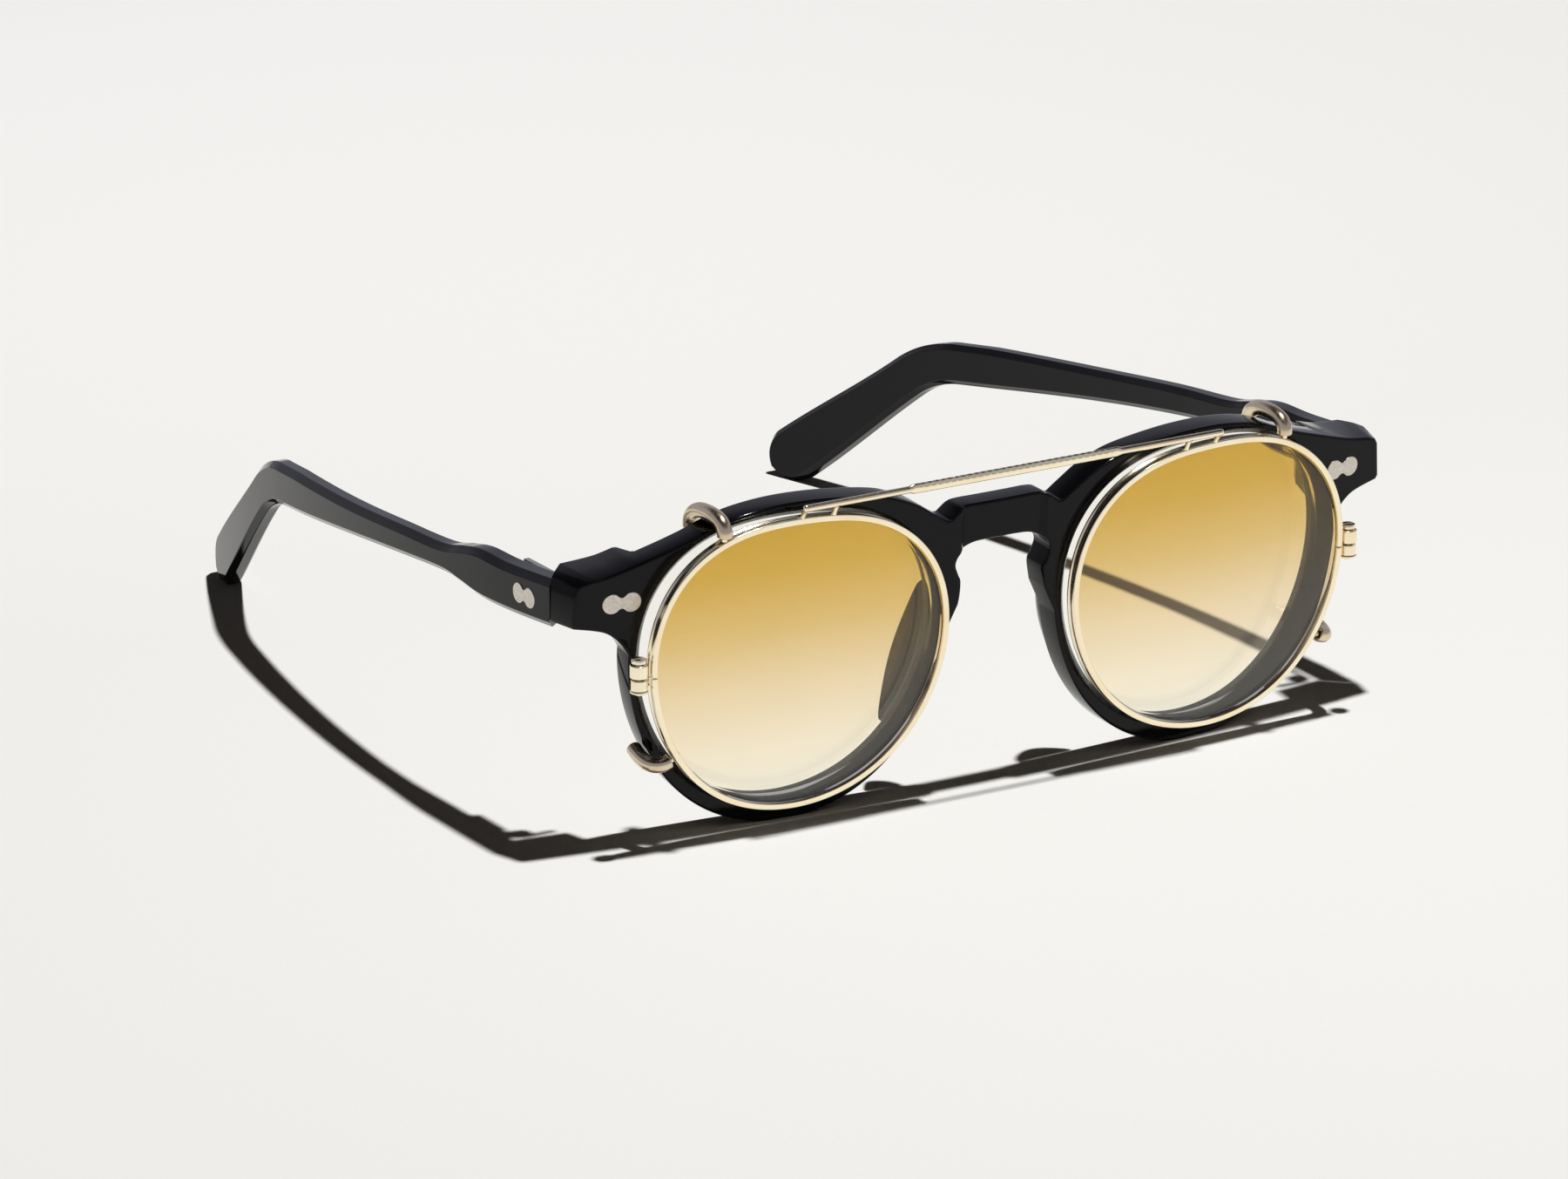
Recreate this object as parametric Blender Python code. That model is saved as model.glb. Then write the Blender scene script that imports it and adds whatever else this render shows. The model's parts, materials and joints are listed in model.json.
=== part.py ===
"""Round acetate eyeglass frame with a keyhole bridge and a hooked clip-on pair of sun lenses.

All lengths are millimetres until a mesh is made.  +Z is up, the wearer looks along -Y, +X is
the wearer's left.  The origin is the middle of the footprint, at the height of the surface
that the rims and the temple tips stand on.

The front is drawn flat, as (s, h, w): s along the front, h up it, w back from its front face.
face_to_world bends s to the base curve and leans the whole sheet forward at the top.
"""
import bpy
import bmesh
import numpy as np
from math import radians
from mathutils import Vector
from mathutils.geometry import delaunay_2d_cdt

MM = 0.001
SIDES = (("left", -1.0), ("right", 1.0))

ORIGIN_BACK = 49.14             # middle of the footprint, behind the datum used below

# Acetate front
LENS_SPACING_HALF = 34.0        # middle of the front to the middle of a lens
LENS_HEIGHT = 24.6              # middle of a lens above the surface below
LENS_RADIUS = 22.34             # mean radius of the panto lens outline
ROUND = 48                      # stations round a lens outline
BASE_CURVE = 441.0              # radius that the front is bent to
LEAN = radians(3.3)             # the top leans this far forward
FRONT_FACE_Y = -18.0            # front face at the middle of the front, at h = 0
FRONT_DEPTH = 4.7
BEZEL_OUT = 0.8                 # bezel edge on the face, beyond the lens outline
OPENING_IN = 0.2                # opening, inside the lens outline
GROOVE_DEPTH = 2.3              # middle of the lens groove, behind the face
GROOVE_OUT = 0.6                # bottom of the lens groove, beyond the outline
RIM_OUT = 1.8                   # outside of the rim, beyond the lens outline
RIM_OUT_BELOW = 1.5             # added to it at the lowest point
FACE_CHAMFER = 0.4
BACK_CHAMFER = 0.6
BRIDGE_RECESS = 0.8
END_BLOCK_DEPTH = 8.4
END_FLARE = 0.45                # how fast the side of the end piece widens backwards
FRONT_RIVET_S, FRONT_RIVET_H = 60.1, 35.6
GAP = 0.3                       # air between neighbouring pieces

# Temples
SEAM_X, SEAM_Y = 68.1, -10.5    # outer edge of the mitre between front and temple
SEAM_ANGLE = radians(43)
HINGE_X, HINGE_Y, HINGE_Z = 62.1, -5.0, 34.9
TEMPLE_BOW = 5.3                # outward bow of the temple in plan
TEMPLE_INWARD = 17.5            # how far its tip stands inside its hinge end
TEMPLE_RUN = 130.4              # length of the temple along Y
BEND_Y, BEND_Z = 89.2, 25.25    # where the lines of shaft and tip cross
BEND_RADIUS = 22.6
SHAFT_ANGLE = radians(-6.6)
TIP_ANGLE = radians(-36.9)
TIP_LENGTH = 35.4               # from that crossing to the middle of the tip's round end
TIP_ROUND = 4.2
CORE_START, CORE_END = -0.6, 110.0      # ends of the core wire along Y
TEMPLE_RIVET_Y, TEMPLE_RIVET_Z = -3.4, 34.8

# Clip-on
CLIP_Y = -20.1                  # middle plane of a clip rim, at the middle of its lens
CLIP_WRAP = radians(2.5)
CLIP_LEAN = radians(2.76)
WIRE_HALF_WIDTH = 0.44
WIRE_HALF_DEPTH = 0.9
SPLIT_ANGLE = radians(2.0)      # where each clip rim closes
HOOK_WIRE = 0.5
HOOK_SLEEVE_BORE = 0.8
HOOK_SLEEVE = 1.1
TOP_HOOK_X = 46.4
CLIP_AXIS_Y, CLIP_AXIS_Z = -14.9, 44.1      # the line that the clip tilts about
BAR_END = 34.8
BAR_POST = 29.2
BAR_Y, BAR_Z = -22.9, 47.1


# ---------------------------------------------------------------- shapes

def lens_radius(t):
    """Radius of the lens outline at angle t, from the temple side upwards: a circle with a
    second harmonic that widens it, a third that flattens its top and a fourth that squares it."""
    return (LENS_RADIUS + 0.99 * np.cos(2 * t) + 0.66 * np.sin(3 * t) - 0.12 * np.cos(3 * t)
            - 0.28 * np.cos(4 * t))


def lens_point(t, out, side=1.0):
    """Flat (s, h) of the lens outline at angle t, moved out along the radius."""
    r = lens_radius(t) + out
    return side * (LENS_SPACING_HALF + r * np.cos(t)), LENS_HEIGHT + r * np.sin(t)


def ramp(x, start, end):
    """0 before start, 1 after end, straight in between."""
    return np.clip((np.asarray(x, float) - start) / (end - start), 0.0, 1.0)


def face_to_world(s, h, w):
    """Bend the flat sheet to the base curve, then lean it forward at the top."""
    s, h, w = np.broadcast_arrays(np.asarray(s, float), h, w)
    s = s + np.sign(s) * END_FLARE * np.maximum(w, 0.0) * ramp(np.abs(s), 61.0, 66.0)
    turn = s / BASE_CURVE
    x = (BASE_CURVE - w) * np.sin(turn)
    back = BASE_CURVE - (BASE_CURVE - w) * np.cos(turn)
    y = FRONT_FACE_Y + back * np.cos(LEAN) - h * np.sin(LEAN)
    z = h * np.cos(LEAN) + back * np.sin(LEAN)
    return np.stack([x, y, z], -1)


def smooth_through(points, steps):
    """Catmull-Rom curve through points, steps pieces between each two of them."""
    p = np.asarray(points, float)
    p = np.vstack([2 * p[0] - p[1], p, 2 * p[-1] - p[-2]])
    t = np.linspace(0, 1, steps, endpoint=False)[:, None]
    out = []
    for a, b, c, d in zip(p[:-3], p[1:-2], p[2:-1], p[3:]):
        out.append(0.5 * (2 * b + (c - a) * t + (2 * a - 5 * b + 4 * c - d) * t ** 2
                          + (3 * b - a - 3 * c + d) * t ** 3))
    return np.vstack(out + [p[-2:-1]])


# ---------------------------------------------------------------- meshes

def material(name, colour, roughness, metallic=0.0, transmission=0.0):
    mat = bpy.data.materials.new(name)
    mat.use_nodes = True
    shader = mat.node_tree.nodes["Principled BSDF"]
    shader.inputs["Base Color"].default_value = (*colour, 1.0)
    shader.inputs["Roughness"].default_value = roughness
    shader.inputs["Metallic"].default_value = metallic
    shader.inputs["Transmission Weight"].default_value = transmission
    return mat


def to_metres(points):
    """From millimetres about the front's datum to metres about the middle of the footprint."""
    return (np.asarray(points, float) - (0.0, ORIGIN_BACK, 0.0)) * MM


def add_object(name, points, faces, mat, pivot=None):
    """Make an object from world points in millimetres; pivot is an empty on a joint's axis."""
    mesh = bpy.data.meshes.new(name)
    local = to_metres(points)
    if pivot is not None:
        local = local - np.array(pivot.location)
    mesh.from_pydata(local.tolist(), [], [list(map(int, f)) for f in faces])
    bm = bmesh.new()
    bm.from_mesh(mesh)
    bmesh.ops.recalc_face_normals(bm, faces=bm.faces)
    bm.to_mesh(mesh)
    bm.free()
    mesh.materials.append(mat)
    mesh.shade_smooth()
    mesh.set_sharp_from_angle(angle=radians(30))
    obj = bpy.data.objects.new(name, mesh)
    bpy.context.collection.objects.link(obj)
    if pivot is not None:
        obj.parent = pivot
    return obj


def add_pivot(name, place):
    empty = bpy.data.objects.new(name, None)
    empty.location = to_metres(place)
    bpy.context.collection.objects.link(empty)
    return empty


def rings_to_faces(rings, count, closed):
    """Quads between rings of count points; closed joins the last ring to the first, and
    otherwise the two ends are capped."""
    faces = []
    for i in range(rings if closed else rings - 1):
        a, b = i * count, (i + 1) % rings * count
        for j in range(count):
            k = (j + 1) % count
            faces.append((a + j, a + k, b + k, b + j))
    if not closed:
        faces.append(tuple(range(count)))
        faces.append(tuple((rings - 1) * count + j for j in range(count)))
    return faces


def add_loft(name, rings, mat, pivot=None, closed=False):
    rings = np.asarray(rings, float)
    return add_object(name, rings.reshape(-1, 3),
                      rings_to_faces(rings.shape[0], rings.shape[1], closed), mat, pivot)


def frames_along(path):
    """Tangent and two normals at each point of a path, turned as little as possible."""
    path = np.asarray(path, float)
    tangent = np.gradient(path, axis=0)
    tangent /= np.linalg.norm(tangent, axis=1)[:, None]
    first = np.cross(tangent[0], (1.0, 0.0, 0.0))
    if np.linalg.norm(first) < 0.1:
        first = np.cross(tangent[0], (0.0, 0.0, 1.0))
    normals = [first / np.linalg.norm(first)]
    for t in tangent[1:]:
        n = normals[-1] - t * np.dot(normals[-1], t)
        normals.append(n / np.linalg.norm(n))
    normals = np.array(normals)
    return tangent, normals, np.cross(tangent, normals)


def tube_rings(path, radius, sides=10):
    """A circle of the given radius carried along the path."""
    path = np.asarray(path, float)
    _, u, v = frames_along(path)
    a = np.arange(sides) * 2 * np.pi / sides
    radius = np.broadcast_to(radius, len(path))[:, None, None]
    return path[:, None] + radius * (np.cos(a)[None, :, None] * u[:, None]
                                     + np.sin(a)[None, :, None] * v[:, None])


def add_tube(name, path, radius, mat, pivot=None, sides=10):
    return add_loft(name, tube_rings(path, radius, sides), mat, pivot)


def add_sleeve(name, path, outer, inner, mat, pivot=None, sides=10):
    """A hollow tube: the outer wall forwards along the path, the bore back again."""
    rings = np.concatenate([tube_rings(path, outer, sides),
                            tube_rings(path, inner, sides)[::-1]])
    return add_loft(name, rings, mat, pivot, closed=True)


def add_cylinder(name, base, height, radius, bore, mat, pivot=None, sides=20):
    """An upright cylinder, with a bore through it unless bore is 0."""
    a = np.arange(sides) * 2 * np.pi / sides
    ring = np.stack([np.cos(a), np.sin(a), 0 * a], -1)
    base = np.asarray(base, float)
    top = base + (0, 0, height)
    if bore:
        rings = [base + radius * ring, top + radius * ring, top + bore * ring, base + bore * ring]
        return add_loft(name, rings, mat, pivot, closed=True)
    return add_loft(name, [base + radius * ring, top + radius * ring], mat, pivot)


def hide_cutter(obj):
    obj.hide_render = True
    obj.display_type = "WIRE"
    return obj


def boolean(obj, other, operation):
    mod = obj.modifiers.new(operation.lower() + "_" + other.name, "BOOLEAN")
    mod.operation = operation
    mod.solver = "EXACT"
    mod.object = hide_cutter(other)
    return mod


def trim_flat(obj, point, normal):
    """Cut away what lies beyond the plane and close the cut with a flat face."""
    bm = bmesh.new()
    bm.from_mesh(obj.data)
    offset = Vector(obj.parent.location) if obj.parent else Vector((0, 0, 0))
    result = bmesh.ops.bisect_plane(
        bm, geom=bm.verts[:] + bm.edges[:] + bm.faces[:], dist=1e-7,
        plane_co=Vector(to_metres(point)) - offset, plane_no=Vector(normal), clear_outer=True)
    cut = [e for e in result["geom_cut"] if isinstance(e, bmesh.types.BMEdge)]
    bmesh.ops.holes_fill(bm, edges=cut)
    bmesh.ops.recalc_face_normals(bm, faces=bm.faces)
    bm.to_mesh(obj.data)
    bm.free()


# ---------------------------------------------------------------- acetate front

def front_outline():
    """Right half of the outline of the front as (s, h), from the middle of the bridge's
    underside, down round the rim, out to the end piece and back along the top."""
    keyhole = smooth_through([(0.0, 36.3), (2.6, 36.3), (4.9, 36.1), (6.9, 35.2), (7.8, 33.7),
                              (7.3, 32.0), (6.7, 30.6), (7.2, 27.6)], 2)
    rim_angles = np.radians(np.linspace(182, 367, 44))
    below = RIM_OUT + RIM_OUT_BELOW * np.maximum(0, -np.sin(rim_angles)) ** 2
    rim = np.stack(lens_point(rim_angles, below), -1)
    under = smooth_through([(59.7, 29.0), (60.8, 30.2), (62.2, 31.2), (64.0, 31.8),
                            (66.9, 32.4)], 2)
    corner = [(67.3, 33.0), (66.9, 37.9), (66.4, 38.7)]
    top = smooth_through([(65.3, 39.1), (61.6, 39.8), (56.5, 41.3), (50.3, 43.3), (44.3, 45.6),
                          (38.0, 46.7), (31.8, 46.9), (25.7, 46.5), (19.5, 45.6), (14.9, 43.9),
                          (11.8, 42.0), (9.6, 40.5)], 3)
    bridge = smooth_through([(8.9, 40.5), (7.3, 41.7), (5.7, 42.0), (2.8, 42.0), (0.0, 42.0)], 2)
    return np.vstack([keyhole, rim, under, corner, top, bridge])


def inset(loop, amount):
    """Move a closed loop inwards along its own normals; the loop runs anticlockwise."""
    step = np.roll(loop, -1, 0) - np.roll(loop, 1, 0)
    normal = np.stack([-step[:, 1], step[:, 0]], -1)
    normal /= np.linalg.norm(normal, axis=1)[:, None]
    return loop + normal * np.reshape(amount, (-1, 1))


LATTICE = 4.0                   # spacing of the points inside the sheet
BLOCK_STEP = (56.8, 58.0)       # where the deep end piece begins, along s


def back_depth(s, h):
    """Depth of the front at (s, h): deeper in the end pieces, which carry the hinges."""
    block = ramp(np.abs(s), *BLOCK_STEP) * ramp(h, 30.2, 31.4)
    return FRONT_DEPTH + (END_BLOCK_DEPTH - FRONT_DEPTH) * block


def face_depth(s):
    """Depth of the front face: the bridge between its two slanted steps is set back."""
    return BRIDGE_RECESS * (1 - ramp(np.abs(s), 6.3, 7.1))


def inside(points, loop):
    """Which points lie inside a closed loop: those that a level ray leaves an odd number of
    times."""
    x, y = points[:, 0][:, None], points[:, 1][:, None]
    (ax, ay), (bx, by) = loop.T, np.roll(loop, -1, 0).T
    crossing = (ay > y) != (by > y)
    rise = np.where(by == ay, 1.0, by - ay)
    return np.sum(crossing & (x < ax + (y - ay) * (bx - ax) / rise), axis=1) % 2 == 1


def fill_between(outer, holes, extra):
    """Triangles of the sheet inside outer and outside the holes, with a lattice and the extra
    points inside it.  Returns the points, the triangles and where each loop point went."""
    given = np.vstack([outer] + holes)
    edges = []
    start = 0
    for loop in [outer] + holes:
        n = len(loop)
        edges += [(start + i, start + (i + 1) % n) for i in range(n)]
        start += n
    reach = np.abs(given).max(0) // LATTICE * LATTICE
    grid = np.stack(np.meshgrid(np.arange(-reach[0], reach[0] + 1, LATTICE),
                                np.arange(0.0, reach[1] + 1, LATTICE)), -1).reshape(-1, 2)
    grid = np.vstack([extra, grid[np.min(np.linalg.norm(grid[:, None] - extra[None], axis=2),
                                         axis=1) > 0.6 * LATTICE]])
    apart = np.min(np.linalg.norm(grid[:, None] - given[None], axis=2), axis=1)
    grid = grid[apart > 0.5]
    points = np.vstack([given, grid])
    verts, _, tris, origin, _, _ = delaunay_2d_cdt([Vector(p) for p in points], edges, [], 1, 1e-6)
    verts = np.array([tuple(v) for v in verts])
    tris = np.array([tuple(t) for t in tris])
    middle = verts[tris].mean(1)
    keep = inside(middle, outer)
    for hole in holes:
        keep &= ~inside(middle, hole)
    tris = tris[keep]
    place = np.full(len(given), -1)
    for new, old in enumerate(origin):
        for o in old:
            if o < len(given):
                place[o] = new
    used = np.unique(tris)
    renumber = np.full(len(verts), -1)
    renumber[used] = np.arange(len(used))
    return verts[used], [tuple(t) for t in renumber[tris]], renumber[place]


def build_front(mat):
    half = front_outline()
    mirror = (half * (-1, 1))[::-1]
    outer = np.vstack([mirror[:-1], half[:-1]])
    # the right half runs clockwise seen from the front, so turn the whole loop round
    area = np.sum(outer[:, 0] * np.roll(outer[:, 1], -1) - np.roll(outer[:, 0], -1) * outer[:, 1])
    if area < 0:
        outer = outer[::-1]
    angles = np.arange(ROUND) * 2 * np.pi / ROUND
    # (beyond the lens outline, share of the depth, extra depth) of each loop of an opening
    wall = [(BEZEL_OUT, 0, 0.0), (-OPENING_IN, 0, 1.2), (-OPENING_IN, 0, GROOVE_DEPTH - 0.7),
            (GROOVE_OUT, 0, GROOVE_DEPTH), (-OPENING_IN, 0, GROOVE_DEPTH + 0.7),
            (-OPENING_IN, 1, -0.5), (-OPENING_IN + 0.4, 1, 0.0)]
    rows = np.arange(31.4, 41.5, 1.3)
    step = [(side * s, h) for side in (-1, 1) for s in BLOCK_STEP for h in rows]
    ledge = [(side * s, h) for side in (-1, 1) for s in (6.3, 7.1) for h in (36.5, 38.2, 39.8)]

    def hole(out, side):
        return np.stack(lens_point(angles, out, side), -1)

    loops = {"front": [inset(outer, FACE_CHAMFER), hole(wall[0][0], -1), hole(wall[0][0], 1)],
             "back": [inset(outer, BACK_CHAMFER), hole(wall[-1][0], -1), hole(wall[-1][0], 1)]}
    extra = {"front": ledge, "back": step}
    points, faces, places = [], [], {}
    total = 0
    for name, (edge, *holes) in loops.items():
        flat, tris, place = fill_between(edge, holes, np.array(extra[name]))
        s, h = flat.T
        w = face_depth(s) if name == "front" else back_depth(s, h)
        points.append(face_to_world(s, h, w))
        faces += [tuple(total + i for i in t) for t in tris]
        places[name] = place + total
        total += len(flat)

    def strip(rows):
        for a, b in zip(rows[:-1], rows[1:]):
            for j in range(len(a)):
                k = (j + 1) % len(a)
                faces.append((a[j], a[k], b[k], b[j]))

    n = len(outer)
    s, h = outer.T
    depths = [face_depth(s) + FACE_CHAMFER, back_depth(s, h) - BACK_CHAMFER]
    rows = [places["front"][:n]]
    for w in depths:
        points.append(face_to_world(s, h, w))
        rows.append(np.arange(total, total + n))
        total += n
    rows.append(places["back"][:n])
    strip(rows)
    m = len(angles)
    for i, side in enumerate((-1, 1)):
        rows = [places["front"][n + i * m:n + (i + 1) * m]]
        for out, share, extra in wall[1:-1]:
            s, h = hole(out, side).T
            points.append(face_to_world(s, h, share * back_depth(s, h) + extra))
            rows.append(np.arange(total, total + m))
            total += m
        rows.append(places["back"][n + i * m:n + (i + 1) * m])
        strip(rows)
    front = add_object("front", np.vstack(points), faces, mat)
    for _, side in SIDES:
        trim_flat(front, (side * SEAM_X, SEAM_Y, 0),
                  (side * np.sin(SEAM_ANGLE), np.cos(SEAM_ANGLE), 0))
    trim_flat(front, (0, 0, 0), (0, 0, -1))
    return front


def lens_rings(edge, shoulder, thickness, bulge, mid, to_world):
    """Rings of a lens: its front face, its bevelled edge, its back face.  Both faces bulge
    forward by the same height, which falls to none at the edge with the square of the radius."""
    t = np.arange(ROUND) * 2 * np.pi / ROUND
    shares = (0.35, 0.75, 1.0)
    rows = [(share * (lens_radius(t) + shoulder), -thickness / 2, share) for share in shares]
    rows.append((lens_radius(t) + edge, 0.0, 1.0))
    rows += [(share * (lens_radius(t) + shoulder), thickness / 2, share) for share in shares[::-1]]
    return [to_world(r * np.cos(t), r * np.sin(t), mid + w - bulge * (1 - share ** 2))
            for r, w, share in rows]


def build_frame_lens(side):
    def to_world(a, b, w):
        return face_to_world(side * (LENS_SPACING_HALF + a), LENS_HEIGHT + b, w)
    return lens_rings(GROOVE_OUT - GAP, -0.35, 1.0, 0.8, GROOVE_DEPTH, to_world)


# ---------------------------------------------------------------- rivets, hinges, temples

def dumbbell(spacing=2.9, lobe=1.45, waist=0.8, out=0.0):
    """Outline of a rivet plaque: two round lobes joined by a narrow waist, around (0, 0)."""
    a = np.radians(np.linspace(-130, 130, 13))
    right = np.stack([spacing / 2 + (lobe + out) * np.cos(a), (lobe + out) * np.sin(a)], -1)
    right = np.vstack([right, [(0.0, waist + out)]])
    left = -right
    return np.vstack([right, left])


def plaque_points(outline, place, across, up, inwards, depth):
    """Carry a plaque outline to its place: two rings, at its face and depth below it."""
    flat = place + outline[:, :1] * across + outline[:, 1:] * up
    return np.array([flat, flat + depth * inwards])


def unit(v):
    v = np.asarray(v, float)
    return v / np.linalg.norm(v)


def add_rivet(name, host, place, across, up, inwards, pin_length, mat, pivot=None):
    """A plaque let into its host, with two pins through it, and the cutters that make room."""
    across, up, inwards = unit(across), unit(up), unit(inwards)
    place = np.asarray(place, float)
    plaque = add_loft(name, plaque_points(dumbbell(), place - 0.12 * inwards, across, up,
                                          inwards, 0.72), mat, pivot)
    room = add_loft(name + "_room", plaque_points(dumbbell(out=0.15), place - inwards, across,
                                                  up, inwards, 1.85), mat, pivot)
    boolean(host, room, "DIFFERENCE")
    for i, x in enumerate((-1.45, 1.45)):
        start = place + x * across
        pin = add_tube(name + "_pin%d" % i, [start + 0.2 * inwards, start + pin_length * inwards],
                       0.55, mat, pivot, 8)
        boolean(plaque, pin, "UNION")
        bore = add_tube(name + "_bore%d" % i, [start + 0.3 * inwards, start + 12.0 * inwards],
                        0.8, mat, pivot, 8)
        boolean(host, bore, "DIFFERENCE")
    return plaque


def temple_outside_x(y):
    """Plan curve of the temple's outer face: a chord with an outward bow."""
    t = (np.asarray(y, float) - SEAM_Y) / TEMPLE_RUN
    return SEAM_X - TEMPLE_INWARD * t + 4 * TEMPLE_BOW * t * (1 - t)


def temple_thickness(y):
    return 4.0 - 0.6 * ramp(y, 0.0, 30.0)


def temple_path():
    """Stations of the temple in side view: (y, z, angle, height), z and height from the top
    and bottom lines of the shaft, then round the bend, down the tip and round its end."""
    edges = smooth_through([(-15.0, 39.1, 32.1), (-10.5, 38.8, 31.8), (2.0, 37.8, 30.9),
                            (10.0, 37.6, 30.6), (15.5, 36.6, 31.0), (21.6, 35.3, 31.2),
                            (35.0, 34.1, 29.8), (53.0, 32.2, 27.4), (76.0, 30.0, 23.9)], 2)
    stations = [(y, (top + low) / 2, SHAFT_ANGLE, top - low) for y, top, low in edges]
    tangent = BEND_RADIUS * np.tan((SHAFT_ANGLE - TIP_ANGLE) / 2)
    centre = np.array([BEND_Y - tangent * np.cos(SHAFT_ANGLE) + BEND_RADIUS * np.sin(SHAFT_ANGLE),
                       BEND_Z - tangent * np.sin(SHAFT_ANGLE) - BEND_RADIUS * np.cos(SHAFT_ANGLE)])
    for share in np.linspace(0, 1, 7):
        a = SHAFT_ANGLE + (TIP_ANGLE - SHAFT_ANGLE) * share
        y, z = centre + BEND_RADIUS * np.array([-np.sin(a), np.cos(a)])
        stations.append((y, z, a, 6.2 + 0.3 * share))
    direction = np.array([np.cos(TIP_ANGLE), np.sin(TIP_ANGLE)])
    start = np.array([y, z])
    run = TIP_LENGTH - tangent
    for share in (0.33, 0.67, 1.0):
        y, z = start + direction * run * share
        stations.append((y, z, TIP_ANGLE, 6.5 + (2 * TIP_ROUND - 6.5) * share))
    for a in np.radians((22, 42, 60, 75, 86)):
        y, z = start + direction * (run + TIP_ROUND * np.sin(a))
        stations.append((y, z, TIP_ANGLE, 2 * TIP_ROUND * np.cos(a)))
    return stations


def temple_ring(station, outline, side):
    """Carry a section outline, (x in from the outer face, up), to its station."""
    y, z, angle, _ = station
    ring = []
    for x, up in outline:
        along = y - up * np.sin(angle)
        ring.append((side * (temple_outside_x(along) - x), along, z + up * np.cos(angle)))
    return ring


def chamfered(station):
    """Section of the temple: a rectangle with its corners cut."""
    thick, half = temple_thickness(station[0]), station[3] / 2
    cut = min(0.8, 0.5 * half)
    return [(0, half - cut), (0, -half + cut), (cut, -half), (thick - cut, -half),
            (thick, -half + cut), (thick, half - cut), (thick - cut, half), (cut, half)]


def strip_section(station, half_thick, half_high):
    """Section of the flat core wire or of its channel, in the middle of the temple."""
    mid = temple_thickness(station[0]) / 2
    return [(mid - half_thick, half_high), (mid - half_thick, -half_high),
            (mid + half_thick, -half_high), (mid + half_thick, half_high)]


def build_temple(tag, side, mat, wire_mat, pivot):
    """A temple with its core wire, which lies in a channel that opens behind the rivet."""
    path = temple_path()
    temple = add_loft("temple_" + tag, [temple_ring(p, chamfered(p), side) for p in path], mat,
                      pivot)
    shift = GAP / 2 / np.sqrt(0.5)
    trim_flat(temple, (side * (SEAM_X + shift * np.sin(SEAM_ANGLE)),
                       SEAM_Y + shift * np.cos(SEAM_ANGLE), 0),
              (-side * np.sin(SEAM_ANGLE), -np.cos(SEAM_ANGLE), 0))
    trim_flat(temple, (0, 0, 0), (0, 0, -1))
    core = [p for p in path if CORE_START < p[0] < CORE_END]
    first = (CORE_START, *np.array(core[0][1:]) + (0.3, 0, 0))
    channel = add_loft("core_channel_" + tag,
                       [temple_ring(p, strip_section(p, 0.75, 1.3), side)
                        for p in [(CORE_START - 0.9, *first[1:])] + core], mat, pivot)
    boolean(temple, channel, "DIFFERENCE")
    last = core[-1]
    shorter = core[:-1] + [(last[0] - 0.5, last[1] + 0.37, *last[2:])]
    add_loft("temple_core_wire_" + tag,
             [temple_ring(p, strip_section(p, 0.45, 1.0), side) for p in [first] + shorter],
             wire_mat, pivot)
    return temple


def add_block(name, low, high, mat, pivot=None):
    """A plain block between two opposite corners."""
    low, high = np.minimum(low, high), np.maximum(low, high)
    ring = np.array([(0, 0), (1, 0), (1, 1), (0, 1)])
    rings = [np.column_stack([low[0] + ring[:, 0] * (high[0] - low[0]),
                              low[1] + ring[:, 1] * (high[1] - low[1]),
                              np.full(4, z)]) for z in (low[2], high[2])]
    return add_loft(name, rings, mat, pivot)


KNUCKLE = 1.5
KNUCKLE_BORE = 0.85
KNUCKLE_HEIGHT = 1.5


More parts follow.
